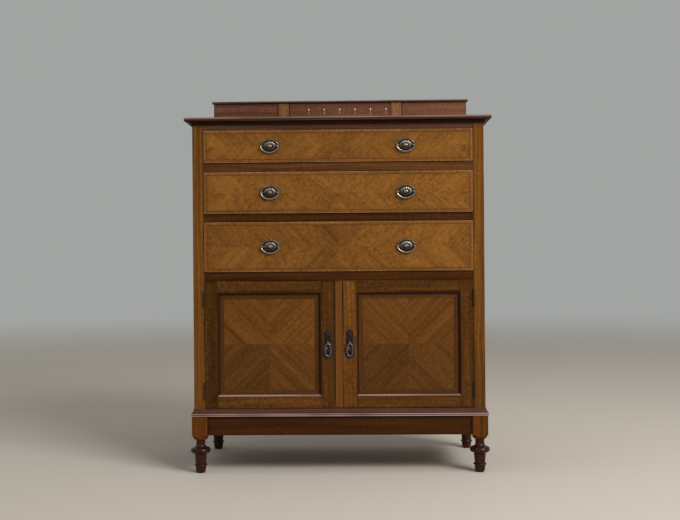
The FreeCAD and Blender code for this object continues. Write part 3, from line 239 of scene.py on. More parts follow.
def cloud(tree, place, rates, low, high, detail=2.0):
    """Noise that changes so many times a metre each way, cut off below low and above high."""
    place = vector(tree, "MULTIPLY", place, rates)
    noise = wire(tree, "ShaderNodeTexNoise", {"Vector": place, "Scale": 1.0, "Detail": detail})
    return spread(tree, noise, low, high)


def mix(tree, factor, first, second):
    return wire(tree, "ShaderNodeMix", {0: factor, 6: first, 7: second}, 2, data_type="RGBA")


def label_of(word):
    return word.replace("_", " ").title()


def new_group(name, kind, outputs, **inputs):
    """A node group, with the sockets at its two ends. An input is given by its usual value, or
    by its kind if it has none."""
    tree = bpy.data.node_groups.new(name, kind)
    for word, value in inputs.items():
        socket = value if isinstance(value, str) else type(value).__name__.title()
        made = tree.interface.new_socket(label_of(word), in_out="INPUT", socket_type="NodeSocket" + socket)
        if socket != value:
            made.default_value = value
    for label, socket in outputs.items():
        tree.interface.new_socket(label, in_out="OUTPUT", socket_type="NodeSocket" + socket)
    return tree, tree.nodes.new("NodeGroupInput").outputs, tree.nodes.new("NodeGroupOutput").inputs


# The figure's changes per metre along, across and through a board, the levels between which
# it shows, and its detail.
SWAY = ((2.5, 8, 8), 0.2, 0.8)
FIGURE = (
    ((3, 170, 90), 0.35, 0.7, 3.0),  # growth lines
    ((22, 900, 700), 0.3, 0.75),  # fibres
    ((80, 2200, 2200), 0.63, 0.72, 0.0),  # pores
    ((0.8, 42, 20), 0.6, 0.72, 4.0),  # veins
    ((110, 70, 70), 0.3, 0.7, 3.0),  # mottle
    ((70, 330, 330), 0.56, 0.7, 1.0),  # dashes
    ((6, 9, 9), 0.35, 0.65, 1.0),  # patches
    ((1.3, 5, 5), 0.25, 0.75),  # drift
)
SWAY_WIDTH = 14 * MM
RIBBON_ALONG, RIBBON_THROUGH, RIBBON_SHOWS = 1.5, 0.4, (0.3, 0.7, 2.5)
LINES, VEINS, FIBRES = 1.1, 0.45, 0.5
TONE_DRIFT = (0.87, 1.13)
GRIME_SHADE_RAGGED, GRIME_SHADE_FULL = 7 * MM, 2 * MM
RUBBED_RAGGED, RUBBED_FULL, RUBBED_PATCHES = 0.4, 0.3, (0.3, 1.7, 0.5, 1.0)
ROUGHER, PORE_ROUGH, FIBRE_HEIGHT = 0.08, 0.2, 0.3


def timber_group():
    """Straight or ribbon-figured timber: stripes, growth lines, fibres, pores and mottle, darkened towards
    a board's edges by dirt and by painted shade where parts meet, paler along them where the polish
    has thinned, and paler as a painted highlight where the relief note says."""
    tree, given, out = new_group(
        "timber", "ShaderNodeTree", {"Base Color": "Color", "Roughness": "Float", "Height": "Float"},
        light="Color", dark="Color", vein="Color", worn="Color", ribbon_width=12 * MM, ribbon=0.6, fibre=0.45,
        pores=0.35, mottle=0.15, fleck=0.2, grime=0.3, grime_reach=20 * MM, wear=0.3, rubbed=1.6 * MM,
        polish=0.38)

    def times(first, second):
        return calc(tree, "MULTIPLY", first, second)

    def less(level, share):
        return times(level, calc(tree, "SUBTRACT", 1.0, share))

    grain, place, reach, tone, crest = (
        wire(tree, "ShaderNodeAttribute", output="Vector" if width == 3 else "Fac", attribute_name=note)
        for note, width in NOTES)
    sway = times(cloud(tree, grain, *SWAY), SWAY_WIDTH)
    grain = vector(tree, "ADD", grain, triple(tree, y=sway))
    across = calc(tree, "DIVIDE", 1.0, given["Ribbon Width"])
    rates = triple(tree, RIBBON_ALONG, across, times(across, RIBBON_THROUGH))
    ribbon = cloud(tree, grain, rates, *RIBBON_SHOWS)
    growth, fibre, pore, vein, mottle, dash, patch, drift = (cloud(tree, grain, *how) for how in FIGURE)

    colour = mix(tree, times(ribbon, given["Ribbon"]), given["Light"], given["Dark"])
    colour = mix(tree, times(growth, times(given["Fibre"], LINES)), colour, given["Dark"])
    colour = mix(tree, times(vein, VEINS), colour, given["Vein"])
    colour = mix(tree, times(times(mottle, given["Mottle"]), patch), colour, given["Vein"])

    level = times(tone, spread(tree, drift, 0.0, 1.0, *TONE_DRIFT))
    bright = times(calc(tree, "SUBTRACT", 0.5, mottle), given["Mottle"])
    level = times(level, calc(tree, "ADD", 1.0, bright))
    level = less(level, times(times(dash, patch), given["Fleck"]))
    level = less(level, times(times(fibre, given["Fibre"]), FIBRES))
    open_pore = times(pore, given["Pores"])
    level = less(level, open_pore)

    # Darker towards a board's edges: dirt, and painted shade where parts meet and shade falls.
    inset = vector(tree, "SUBTRACT", reach, vector(tree, "ABSOLUTE", place))
    a, b, c = wire(tree, "ShaderNodeSeparateXYZ", {0: inset}).node.outputs
    nearer = calc(tree, "MINIMUM", calc(tree, "MAXIMUM", a, b), c)
    edge = calc(tree, "MAXIMUM", calc(tree, "MINIMUM", a, b), nearer)
    ragged = calc(tree, "MULTIPLY_ADD", patch, GRIME_SHADE_RAGGED, edge)
    grime = spread(tree, ragged, GRIME_SHADE_FULL, given["Grime Reach"], 1.0, 0.0)
    # Paler along the edges where the polish has thinned, and paler as a painted highlight where the relief note
    # (crest) is set.
    uneven = calc(tree, "MULTIPLY_ADD", growth, times(given["Rubbed"], RUBBED_RAGGED), edge)
    rubbed = spread(tree, uneven, times(given["Rubbed"], RUBBED_FULL), given["Rubbed"], 1.0, 0.0)
    patchy = spread(tree, calc(tree, "ADD", drift, patch), *RUBBED_PATCHES)
    wear = times(calc(tree, "MAXIMUM", rubbed, crest), times(patchy, given["Wear"]))
    colour = vector(tree, "MULTIPLY", colour, less(level, times(grime, given["Grime"])))
    tree.links.new(mix(tree, wear, colour, given["Worn"]), out["Base Color"])
    rough = calc(tree, "MULTIPLY_ADD", patch, ROUGHER, given["Polish"])
    rough = calc(tree, "MULTIPLY_ADD", grime, ROUGHER, rough)
    tree.links.new(calc(tree, "MULTIPLY_ADD", open_pore, PORE_ROUGH, rough), out["Roughness"])
    tree.links.new(calc(tree, "SUBTRACT", times(fibre, FIBRE_HEIGHT), open_pore), out["Height"])
    return tree


timber = timber_group()


def linear(code):
    """A colour written as six hex digits, as the light that it sends back."""
    parts = [int(code[i:i + 2], 16) / 255 for i in (0, 2, 4)]
    return tuple(p / 12.92 if p <= 0.04045 else ((p + 0.055) / 1.055) ** 2.4 for p in parts) + (1.0,)


def new_finish(name, values):
    """A finish whose surface has these values where nothing is plugged in."""
    finish = bpy.data.materials.new(name)
    finish.use_nodes = True
    surface = finish.node_tree.nodes["Principled BSDF"]
    for label, value in values.items():
        surface.inputs[label].default_value = value
    return finish, finish.node_tree, surface


def group_finish(name, group, values, relief, **figure):
    """A finish whose colour, gloss and relief come from a group; figure is what goes in."""
    finish, tree, surface = new_finish(name, values)
    made = tree.nodes.new("ShaderNodeGroup")
    made.node_tree = group
    for label, value in figure.items():
        value = linear(value) if isinstance(value, str) else value
        made.inputs[label_of(label)].default_value = value
    for output in made.outputs:
        if output.name in surface.inputs:
            tree.links.new(output, surface.inputs[output.name])
    bump = wire(tree, "ShaderNodeBump", {"Height": made.outputs["Height"], "Distance": relief * MM})
    tree.links.new(bump, surface.inputs["Normal"])
    return finish


def timber_finish(name, light, dark, vein, worn, coat=0.15, relief=0.12, **figure):
    """A wood finish: the timber's colours and figure, under a coat of polish if it has one."""
    values = {"Specular IOR Level": 0.04, "Coat Weight": coat, "Coat Roughness": 0.12, "Coat IOR": 1.5}
    return group_finish(name, timber, values, relief, light=light, dark=dark, vein=vein, worn=worn, **figure)


# Its dark narrow edges are dirt, and painted shade beside the proud drawers.
golden = timber_finish(
    "golden mahogany", "86561e", "543008", "402004", "9c7040", ribbon_width=0.011, ribbon=0.65,
    mottle=0.12, grime=0.4, grime_reach=0.009)
brown = timber_finish(
    "brown mahogany", "5e340e", "3a1a05", "281003", "80582c", coat=0.08, ribbon_width=0.016)
faded = timber_finish(
    "faded mahogany", "744c34", "4c2c1c", "341a10", "80583c", ribbon_width=0.006, fibre=0.5, pores=0.4,
    grime=0.1, wear=0.1)
# A paler finish for the rail under the first drawer: painted light from above.
faded_rail = timber_finish("faded rail mahogany", "734822", "492611", "331a0b", "8c6844", coat=0.08)
# Its strong dark edges are dirt, and painted shade in the gaps beside the doors.
muntin_wood = timber_finish(
    "muntin mahogany", "7c4d22", "543110", "402108", "8c6034", ribbon_width=0.011, mottle=0.12, grime=0.7,
    grime_reach=0.007, wear=0.1)
# how much darker the rails below the first drawer are: painted shade under the drawers
LOWER_RAIL_TONE = 0.87
RAIL_BELOW = 30 * MM
# the posts' tone at the foot and at the head: painted light from above
FOOT_SHADE, HEAD_LIGHT = 0.86, 1.14
upper_drawer_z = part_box("drawer_1_front")[0].z
post_foot, post_head = (corner.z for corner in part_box("front_posts"))


def post_fade(point):
    """Painted light: the posts are darker at the foot and paler at the head, as the light falls from above."""
    share = (point.z - post_foot) / (post_head - post_foot)
    return FOOT_SHADE + (HEAD_LIGHT - FOOT_SHADE) * share


def plane_rail(shape):
    """Painted light: the rail under the first drawer gets a paler finish, as if lit from above, and the ones below
    it a darker tone, as painted shade under the drawers.
    """
    upper = box_of(shape)[0].z > upper_drawer_z - RAIL_BELOW
    ease_edges(shape)
    shade = (1.0 if upper else LOWER_RAIL_TONE) * chance.uniform(*BOARD_TONES)
    return {"tone": shade, "finish": 0 if upper else 1}


dress("front_posts", golden, fade=post_fade)
dress("back_posts", brown)
dress("side_rails", brown)
dress("side_panels", brown, eased=0, along=ALONG_Z)
dress("top_rail", faded)
remake("drawer_rails", [faded_rail, brown], plane_rail)
dress("bottom_rail", brown)
dress("door_muntin", muntin_wood)

# ------------------------ top and mouldings
# The top is one wide mahogany board with a thumb moulding round its front and ends. A hollow
# moulding fills the corner under it, and one with two beads below a slope runs round the case's
# foot, both mitred and glued on. The nosing and the bead crests are painted with highlights, the
# grooves beside the beads with shade, and the hollow is coloured dark as painted shade under the top.

SMOOTH_CURVE = 28
NOSING = 7.5 * MM
# how much of the front's painted highlight the ends of the top and of the base moulding get
ON_ENDS = 0.4
BEAD_CRESTS = (2.4 * MM, 7.8 * MM)
CREST = 1.3 * MM
QUIRKS = (0.0, 5.1 * MM, 10.2 * MM)
QUIRK, QUIRK_SHADE = 0.5 * MM, 0.35
top_low, top_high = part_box("top_board")
base_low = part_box("base_moulding")[0]


def on_nosing(point):
    """Painted highlight: paler in the middle of the thumb moulding, most of all at the front."""
    front = point.y - top_low.y
    end = min(point.x - top_low.x, top_high.x - point.x)
    off_middle = abs(min(front, end) - (top_high.z - point.z)) / NOSING
    return max(0.0, 1.0 - off_middle) * (1.0 if front < end else ON_ENDS)


# Painted highlight along the crests of the two beads, weaker on the ends.
def on_bead(point):
    if min(abs(point.z - base_low.z - crest) for crest in BEAD_CRESTS) > CREST:
        return 0.0
    return 1.0 if point.y - base_low.y < NOSING else ON_ENDS


def in_quirk(point):
    """Painted shade: the grooves beside the beads are made darker."""
    return QUIRK_SHADE if any(abs(point.z - base_low.z - quirk) < QUIRK for quirk in QUIRKS) else 1.0


quiet = {"fibre": 0.4, "pores": 0.3, "mottle": 0.12, "grime": 0.2}
# Its fourth colour, a pale pink, is the painted highlight on the nosing and on the gallery cap.
red = timber_finish(
    "red mahogany", "5a3222", "341a10", "220e08", "ccac98", coat=0.3, ribbon_width=0.014, wear=0.75,
    polish=0.3, **quiet)
# Its fourth colour is the painted highlight on the bead crests.
base_wood = timber_finish(
    "moulding mahogany", "664032", "44281c", "2e1a12", "bc9c92", coat=0.25, ribbon_width=0.01, ribbon=0.5,
    wear=0.85, polish=0.32, **quiet)
# Coloured darker than the top: painted shade under its overhang.
shaded_hollow = timber_finish(
    "shaded hollow mahogany", "3a2014", "24120a", "180a06", "80583c", coat=0.1, ribbon_width=0.014, ribbon=0.5,
    wear=0.1, polish=0.36, **quiet)
dress("top_board", red, eased=0, smooth=SMOOTH_CURVE, rubbed=on_nosing)
dress("top_moulding", shaded_hollow, eased=0, smooth=SMOOTH_CURVE)
dress("base_moulding", base_wood, eased=0, smooth=SMOOTH_CURVE, rubbed=on_bead, fade=in_quirk)

# ------------------------ stand
# Four mahogany legs, each turned from one square: the block keeps its square section and light
# colour, and the turned foot below it is stained darker. Rails tenoned between the blocks carry
# the case.

turned = timber_finish(
    "turned foot", "461e15", "281009", "1a0a06", "5a3020", coat=0.38, fibre=0.35, pores=0.25, mottle=0.3,
    grime=0.0, wear=0.0, polish=0.24)
block_wood = timber_finish(
    "leg block mahogany", "784510", "4c2806", "381a04", "8c6030", coat=0.1, ribbon_width=0.011,
    grime=0.35, grime_reach=0.01, wear=0.2)
FOOT_TOP = 103.5 * MM
RING_EDGE = 35
PLINTH_TONE = 0.82
# how much paler or darker than its fellows each leg is: its block, and its turned foot
LEG_TONES = {"front_left": (1.12, 0.86), "front_right": (0.94, 1.1),
             "back_left": (1.0, 1.0), "back_right": (1.0, 1.0)}


def leg_finish(face):
    return 0 if face.calc_center_median().z > FOOT_TOP else 1


for corner, (block_tone, foot_tone) in LEG_TONES.items():
    remake("leg_" + corner, [block_wood, turned], smooth=RING_EDGE, along=ALONG_Z, finish=leg_finish,
           fade=lambda point: block_tone if point.z > FOOT_TOP else foot_tone)
dress("plinth_rails", brown, tone=lambda centre: PLINTH_TONE)

# ------------------------ inside the case
# Deal and other plain wood that the polisher never reached: runners and guides for the drawers,
# stops, the dust board, the cupboard's floor and shelf, and upright matched boards at the back.

deal = timber_finish(
    "old deal", "a07848", "805a30", "5e3e20", "b08c5c", coat=0.0, relief=0.3, ribbon_width=0.009,
    ribbon=0.5, fibre=0.4, pores=0.1, mottle=0.05, wear=0.1, polish=0.75)
for node in ("drawer_runners", "drawer_stops", "dust_board", "shelf_bearers", "back_boards"):
    dress(node, deal)
for node in ("cupboard_floor", "cupboard_shelf"):
    dress(node, deal, along=ALONG_X)

# ------------------------ gallery
# A low board along the back of the top, with a thin overhanging cap and two satinwood blocks, each
# between lines of dark stringing. Seven small flowers are let in between the blocks, a pale bud on
# a boxwood stem with leaves each, and the polish has stained the first of them.

satinwood = timber_finish(
    "satinwood", "926440", "784c2e", "6a4226", "a88058", ribbon_width=0.006, ribbon=0.4, fibre=0.25,
    pores=0.1, mottle=0.25, grime=0.2, wear=0.2, polish=0.34)
gallery_red = timber_finish(
    "gallery mahogany", "825440", "5e3622", "462216", "a88468", ribbon_width=0.013, fibre=0.4, pores=0.3,
    mottle=0.2, grime=0.15, wear=0.15, polish=0.34)
cap_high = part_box("gallery_cap")[1]
CAP_ROUND, CAP_FLAT, CAP_HIGHLIGHT = 3.2 * MM, 0.5 * MM, 0.35
GALLERY_LIGHT_RAMP = 0.27


# Painted highlight along the cap's upper rounding.
def on_cap(point):
    return CAP_HIGHLIGHT if cap_high.z - CAP_ROUND < point.z < cap_high.z - CAP_FLAT else 0.0


# Painted light: the board is made paler towards the right, where the light is stronger.
dress("gallery_board", gallery_red, along=ALONG_X,
      fade=lambda point: 1.0 + GALLERY_LIGHT_RAMP * point.x / cap_high.x)
dress("gallery_cap", red, eased=0, smooth=SMOOTH_CURVE, rubbed=on_cap)
dress("gallery_blocks", satinwood, along=ALONG_Z)
SPOTS_PER_METRE, SPOT_SHOWS, SPOT_CHANGE, SPOT_ROUGH = 300.0, (0.3, 0.7), 0.15, 0.1


def plain_finish(name, code, roughness, coat=0.3):
    """A small piece of one colour that varies a little from spot to spot."""
    finish, tree, surface = new_finish(name, {"Specular IOR Level": 0.1, "Coat Weight": coat})
    here = wire(tree, "ShaderNodeTexCoord", output="Object")
    noise = wire(tree, "ShaderNodeTexNoise", {"Vector": here, "Scale": SPOTS_PER_METRE, "Detail": 2.0})
    level = spread(tree, noise, *SPOT_SHOWS, 1.0 - SPOT_CHANGE, 1.0 + SPOT_CHANGE)
    tree.links.new(vector(tree, "MULTIPLY", linear(code)[:3], level), surface.inputs["Base Color"])
    rough = spread(tree, noise, *SPOT_SHOWS, roughness, roughness + SPOT_ROUGH)
    tree.links.new(rough, surface.inputs["Roughness"])
    return finish


bone = plain_finish("bone", "f0e4d4", 0.3)
boxwood = plain_finish("boxwood", "c4a47c", 0.4)
stained_bone = plain_finish("stained bone", "7c5648", 0.35)
stained_boxwood = plain_finish("stained boxwood", "5c3c2c", 0.4)
ebony = plain_finish("ebony", "1e0e08", 0.35, coat=0.05)
stained_leaf = plain_finish("stained leaf", "38201a", 0.4, coat=0.05)


def new_row(name, **sizes):
    """A tree that sets one thing at each point of a mesh, with its sizes as named inputs."""
    return new_group(name, "GeometryNodeTree", {"Geometry": "Geometry"}, geometry="Geometry", **sizes)


def coat_with(tree, shape, finish):
    return wire(tree, "GeometryNodeSetMaterial", {"Geometry": shape, "Material": finish})


def move(tree, shape, **how):
    return wire(tree, "GeometryNodeTransform", {"Geometry": shape, **how})


def end_row(tree, out, points, thing, finish=None, **how):
    """Set the thing at each point, and make all of it plain mesh in its finish."""
    row = wire(tree, "GeometryNodeInstanceOnPoints", {"Points": points, "Instance": thing, **how})
    row = wire(tree, "GeometryNodeRealizeInstances", {"Geometry": row})
    tree.links.new(coat_with(tree, row, finish) if finish else row, out["Geometry"])
    return tree


BUD_CORNERS, LEAF_CORNERS = 20, 12
LEAF_THIN = 0.36
LEAF_OUT = 4 * MM
LEAVES = ((4.6 * MM, 50), (-9 * MM, 40))
STEM_STARTS = 1.25


def flower_row():
    """A tree that sets one inlaid flower at each point: bud, stem and two pairs of leaves."""
    tree, given, out = new_row(
        "flower_row", bud=2.3 * MM, stem_width=1.1 * MM, stem_length=16 * MM, leaf=2.8 * MM, proud=0.2 * MM,
        bud_finish="Material", stem_finish="Material", leaf_finish="Material")

    def disc(name, corners, thin=1.0):
        sizes = {"Vertices": corners, "Radius": given[name], "Depth": given["Proud"]}
        made = move(tree, wire(tree, "GeometryNodeMeshCylinder", sizes), Rotation=(math.pi / 2, 0, 0))
        return coat_with(tree, move(tree, made, Scale=(1.0, 1.0, thin)), given[name + " Finish"])

    size = triple(tree, given["Stem Width"], given["Proud"], given["Stem Length"])
    start = calc(tree, "MULTIPLY", given["Bud"], -STEM_STARTS)
    middle = triple(tree, z=calc(tree, "MULTIPLY_ADD", given["Stem Length"], -0.5, start))
    stem = move(tree, wire(tree, "GeometryNodeMeshCube", {"Size": size}), Translation=middle)
    parts = [disc("Bud", BUD_CORNERS), coat_with(tree, stem, given["Stem Finish"])]
    leaf = disc("Leaf", LEAF_CORNERS, LEAF_THIN)
    for side in (-1, 1):
        for lift, turn in LEAVES:
            parts.append(move(tree, leaf, Translation=(side * LEAF_OUT, 0, lift),
                              Rotation=(0, -side * math.radians(turn), 0)))
    flower = wire(tree, "GeometryNodeJoinGeometry")
    for part in parts:
        tree.links.new(part, flower.node.inputs[0])
    return end_row(tree, out, given["Geometry"], flower)


def grow(name, tree, points, edges, body, slot, **values):
    """Run a tree on a few points or a path, and keep the result as a plain piece."""
    mesh = bpy.data.meshes.new(name)
    mesh.from_pydata(points, edges, [])
    made = new_object(name, mesh)
    modifier = made.modifiers.new("grow", "NODES")
    modifier.node_group = tree
    for word, value in values.items():
        modifier[tree.interface.items_tree[label_of(word)].identifier] = value
    grown = bpy.data.meshes.new_from_object(made.evaluated_get(bpy.context.evaluated_depsgraph_get()))
    made.modifiers.remove(modifier)
    made.data = grown
    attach(made, body)


gallery_low, gallery_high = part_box("gallery_board")
block_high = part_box("gallery_blocks")[1]
FLOWERS = 7
FLOWER_GAP = 54.9 * MM
BUD_BELOW_CAP = 22 * MM
bud_spots = [Vector(((i - (FLOWERS - 1) / 2) * FLOWER_GAP, gallery_low.y, gallery_high.z - BUD_BELOW_CAP))
             for i in range(FLOWERS)]
flowers = flower_row()
grow("gallery_flowers", flowers, bud_spots[1:], [], "carcase", "satinwood",
     bud_finish=bone, stem_finish=boxwood, leaf_finish=stained_leaf)
grow("gallery_stained_flower", flowers, bud_spots[:1], [], "carcase", "satinwood",
     bud_finish=stained_bone, stem_finish=stained_boxwood, leaf_finish=stained_leaf)


def rectangle(low, high):
    return [(low[0], low[1]), (high[0], low[1]), (high[0], high[1]), (low[0], high[1])]


def slab(corners, front, back):
    """A flat piece with the given outline in X and Z, between two depths."""
    shape = bmesh.new()
    ring = [[shape.verts.new((x, y, z)) for x, z in corners] for y in (front, back)]
    shape.faces.new(ring[0])
    shape.faces.new(ring[1][::-1])
    for i in range(len(corners)):
        shape.faces.new((ring[0][i - 1], ring[0][i], ring[1][i], ring[1][i - 1]))
    bmesh.ops.recalc_face_normals(shape, faces=shape.faces)
    return shape


LINE = 2.0 * MM
LINE_APART = 3.0 * MM
BLOCK_WIDTH = 34.8 * MM
LINE_PROUD = 0.1 * MM
line_batch = new_batch()
for side in (-1, 1):
    for edge_x, way in ((block_high.x, 1), (block_high.x - BLOCK_WIDTH, -1)):
        x = sorted(side * (edge_x + way * apart) for apart in (LINE_APART, LINE_APART + LINE))
        corners = rectangle((x[0], gallery_low.z), (x[1], gallery_high.z))
        add_shape(line_batch, slab(corners, gallery_low.y - LINE_PROUD, gallery_low.y + LINE_PROUD))
make_piece("gallery_stringing", line_batch, [ebony], "carcase")

# ------------------------ drawer fronts
# Each front is a mahogany board faced with saw-cut veneer: four matched quarters whose stripes
# run in to the middle, a line of dark stringing round them, and a crossbanded border with its
# grain square to the edge. The border's outer edge is rounded over.

VENEER = 1.0 * MM
BAND = 9 * MM
STRING = 1.1 * MM
ROUNDED = 1.4 * MM
NEXT_LEAF = 0.02
BORDER_EDGE = 20
drawer_veneer = timber_finish(
    "drawer veneer", "8c5c24", "6c4018", "583010", "a07840", ribbon_width=0.034, ribbon=0.46, fibre=0.35,
    pores=0.3, mottle=0.22, fleck=0.42, grime=0.1, wear=0.0, polish=0.36)
crossband = timber_finish(
    "crossband", "845625", "6c421a", "583214", "a88258", ribbon=0.5, fibre=0.4, pores=0.3, mottle=0.1,
    grime=0.0, wear=0.8, rubbed=2.8 * MM, polish=0.34)
string_wood = plain_finish("dark stringing", "34160c", 0.35, coat=0.05)


def quarters(batch, low, high, tones, whole):
    """Four matched leaves of veneer; their grain runs slantwise in to the middle."""
    middle = ((low[0] + high[0]) / 2, (low[1] + high[1]) / 2)
    start = chance.uniform(-GRAIN_SPREAD, GRAIN_SPREAD)
    slant = math.sqrt(0.5)
    for number, (side, rise) in enumerate(((-1, 1), (1, 1), (-1, -1), (1, -1))):
        x = sorted((middle[0], low[0] if side < 0 else high[0]))
        z = sorted((middle[1], low[1] if rise < 0 else high[1]))

        def matched(point):
            u, v = side * (point.x - middle[0]), rise * (point.z - middle[1])
            return Vector(((u + v) * slant, (u - v) * slant + start, start + NEXT_LEAF * number))

        shape = slab(rectangle((x[0], z[0]), (x[1], z[1])), whole[0].y, whole[1].y)
        add_shape(batch, shape, tone=tones[number], whole=whole, grain_at=matched)


def border(batch, outer, inner, face, finish, whole, rounded=0.0):
    """Four mitred strips between two rectangles, with the grain across each of them."""
    outer, inner = rectangle(*outer), rectangle(*inner)
    for i in range(4):
        j = (i + 1) % 4
        shape = slab([outer[i], outer[j], inner[j], inner[i]], *face)
        if rounded:
            ends = {welded((x, face[0], z)) for x, z in (outer[i], outer[j])}
            edge = [e for e in shape.edges if {welded(v.co) for v in e.verts} == ends]
            bmesh.ops.bevel(shape, geom=edge, offset=rounded, offset_type="OFFSET", segments=3,
                            profile=0.5, affect="EDGES")
        add_shape(batch, shape, along=ALONG_Z if i % 2 == 0 else ALONG_X, finish=finish, whole=whole)


def make_room(shape):
    """Plane a board's front face down, to leave room for the veneer."""
    face_y = box_of(shape)[0].y + VENEER
    for vertex in shape.verts:
        vertex.co.y = max(vertex.co.y, face_y)


DRAWERS = {"drawer_1": (1.08, 1.04, 1.04, 1.02), "drawer_2": (1.07, 1.13, 1.05, 1.1),
           "drawer_3": (0.84, 1.0, 0.9, 0.98)}  # the tones of each one's four leaves
for drawer, tones in DRAWERS.items():
    remake(drawer + "_front", [brown], make_room, drawer + "_core", "mahogany_dark", along=ALONG_X)
    low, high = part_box(drawer + "_front")
    face = (low.y, low.y + VENEER)
    edge, line, leaf = (((low.x + inset, low.z + inset), (high.x - inset, high.z - inset))
                        for inset in (0.0, BAND, BAND + STRING))
    leaf_box = tuple(Vector((x, y, z)) for (x, z), y in zip(leaf, face))
    veneer = new_batch()
    quarters(veneer, *leaf, tones, leaf_box)
    border(veneer, edge, line, face, 1, (low, high), ROUNDED)
    border(veneer, line, leaf, face, 2, (low, high))
    finishes = [drawer_veneer, crossband, string_wood]
    make_piece(drawer + "_veneer", veneer, finishes, drawer, smooth=BORDER_EDGE)

# ------------------------ drawer boxes
# Thin sides and back, with a bottom board slid into grooves. The front corners are dovetailed, and
# lapped so that nothing shows on the face.

end_grain = timber_finish(
    "end grain", "5c3418", "3c1e0c", "2a1408", "80583c", coat=0.0, ribbon_width=0.003, ribbon=0.5,
    fibre=0.5, pores=0.6, mottle=0.1, grime=0.0, wear=0.0, polish=0.6)


def dovetail_row():
    """A tree that sets one dovetail pin at each point: a wedge, wide at one end."""
    tree, given, out = new_row("dovetail_row", depth=12 * MM, width=8 * MM, flare=0.35, proud=0.2 * MM,
                               finish="Material")
    size = triple(tree, given["Proud"], given["Depth"], given["Width"])
    pin = wire(tree, "GeometryNodeMeshCube", {"Size": size})
    place = wire(tree, "GeometryNodeInputPosition")
    x, y, z = wire(tree, "ShaderNodeSeparateXYZ", {0: place}).node.outputs
    share = calc(tree, "MULTIPLY", calc(tree, "DIVIDE", y, given["Depth"]), 2.0)
    wide = calc(tree, "MULTIPLY_ADD", share, given["Flare"], 1.0)
    spot = triple(tree, x, y, calc(tree, "MULTIPLY", z, wide))
    pin = wire(tree, "GeometryNodeSetPosition", {"Geometry": pin, "Position": spot})
    return end_row(tree, out, given["Geometry"], pin, given["Finish"])


dovetails = dovetail_row()
LAP = 7 * MM
PIN_STEP = 30 * MM
PIN_SHARE = 0.3
for drawer in DRAWERS:
    dress(drawer + "_box", deal)
    dress(drawer + "_bottom", deal, along=ALONG_X)
    side_low, side_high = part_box(drawer + "_box")
    front_low, front_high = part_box(drawer + "_front")
    pins = max(2, round((side_high.z - side_low.z) / PIN_STEP))
    step = (side_high.z - side_low.z) / pins
    depth = front_high.y - front_low.y - LAP
    spots = [Vector((x, front_low.y + LAP + depth / 2, side_low.z + (i + 0.5) * step))
             for x in (side_low.x, side_high.x) for i in range(pins)]
    grow(drawer + "_dovetails", dovetails, spots, [], drawer, "mahogany_dark",
         depth=depth, width=step * PIN_SHARE, finish=end_grain)

# ------------------------ drawer handles
# Pressed brass plates with a beaded edge and a fluted boss. Two turned posts go through each plate
# and the drawer front to nuts inside, and the cast bail swings between their heads. The brass has
# gone brown in the hollows and is bright on what stands out. The lower half of each plate is made
# duller as painted shade, and the front of each bail brighter, partly from handling and partly as a
# painted highlight.

# fine spots and broad ones: how many to a metre, their detail, and how far they change the metal
SPOTS = ((500.0, 4.0, 0.5), (120.0, 2.0, 0.6))
BRIGHTENS = (0.15, 0.95)
METAL_ROUGH, METAL_CLEAN = (0.6, 0.24), (0.55, 1.0)


def patina_group():
    """Old metal: bright where it stands proud and is handled, brown and dull in the hollows; the relief note also
    brings painted shade to the lower halves of the pressed ovals and a painted highlight to the fronts of the
    castings.
    """
    tree, given, out = new_group(
        "patina", "ShaderNodeTree",
        {"Base Color": "Color", "Roughness": "Float", "Metallic": "Float", "Height": "Float"},
        bright="Color", dull="Color", handled=0.5)
    here = wire(tree, "ShaderNodeTexCoord", output="Object")
    relief = wire(tree, "ShaderNodeAttribute", output="Fac", attribute_name="relief")
    bright = calc(tree, "ADD", relief, given["Handled"])
    noises = []
    for rate, detail, change in SPOTS:
        noises.append(wire(tree, "ShaderNodeTexNoise", {"Vector": here, "Scale": rate, "Detail": detail}))
        bright = calc(tree, "MULTIPLY_ADD", calc(tree, "SUBTRACT", noises[-1], 0.5), change, bright)
    bright = spread(tree, bright, *BRIGHTENS)
    tree.links.new(mix(tree, bright, given["Dull"], given["Bright"]), out["Base Color"])
    tree.links.new(spread(tree, bright, 0.0, 1.0, *METAL_ROUGH), out["Roughness"])
    tree.links.new(spread(tree, bright, 0.0, 1.0, *METAL_CLEAN), out["Metallic"])
    tree.links.new(noises[0], out["Height"])
    return tree


patina = patina_group()


def metal_finish(name, bright, dull, handled, relief=0.05):
    return group_finish(name, patina, {}, relief, bright=bright, dull=dull, handled=handled)


plate_brass = metal_finish("plate brass", "c8b8a0", "2c2016", 0.0)
bail_brass = metal_finish("bail brass", "b4a48c", "2e2419", 0.04)
bead_brass = metal_finish("bead brass", "b8ac98", "342822", 0.5)


def bead_row():
    """A tree that sets a row of half-round beads along a path."""
    tree, given, out = new_row("bead_row", count=40, radius=1 * MM, height=0.7, finish="Material")
    path = wire(tree, "GeometryNodeMeshToCurve", {"Mesh": given["Geometry"]})
    path = wire(tree, "GeometryNodeResampleCurve", {"Curve": path, "Count": given["Count"]})
    bead = wire(tree, "GeometryNodeMeshIcoSphere", {"Radius": given["Radius"], "Subdivisions": 2})
    bead = wire(tree, "GeometryNodeSetShadeSmooth", {"Geometry": bead})
    return end_row(tree, out, path, bead, given["Finish"], Scale=triple(tree, 1.0, given["Height"], 1.0))


beads = bead_row()
TURN = 2 * math.pi
PLATE = (31.5 * MM, 24 * MM)
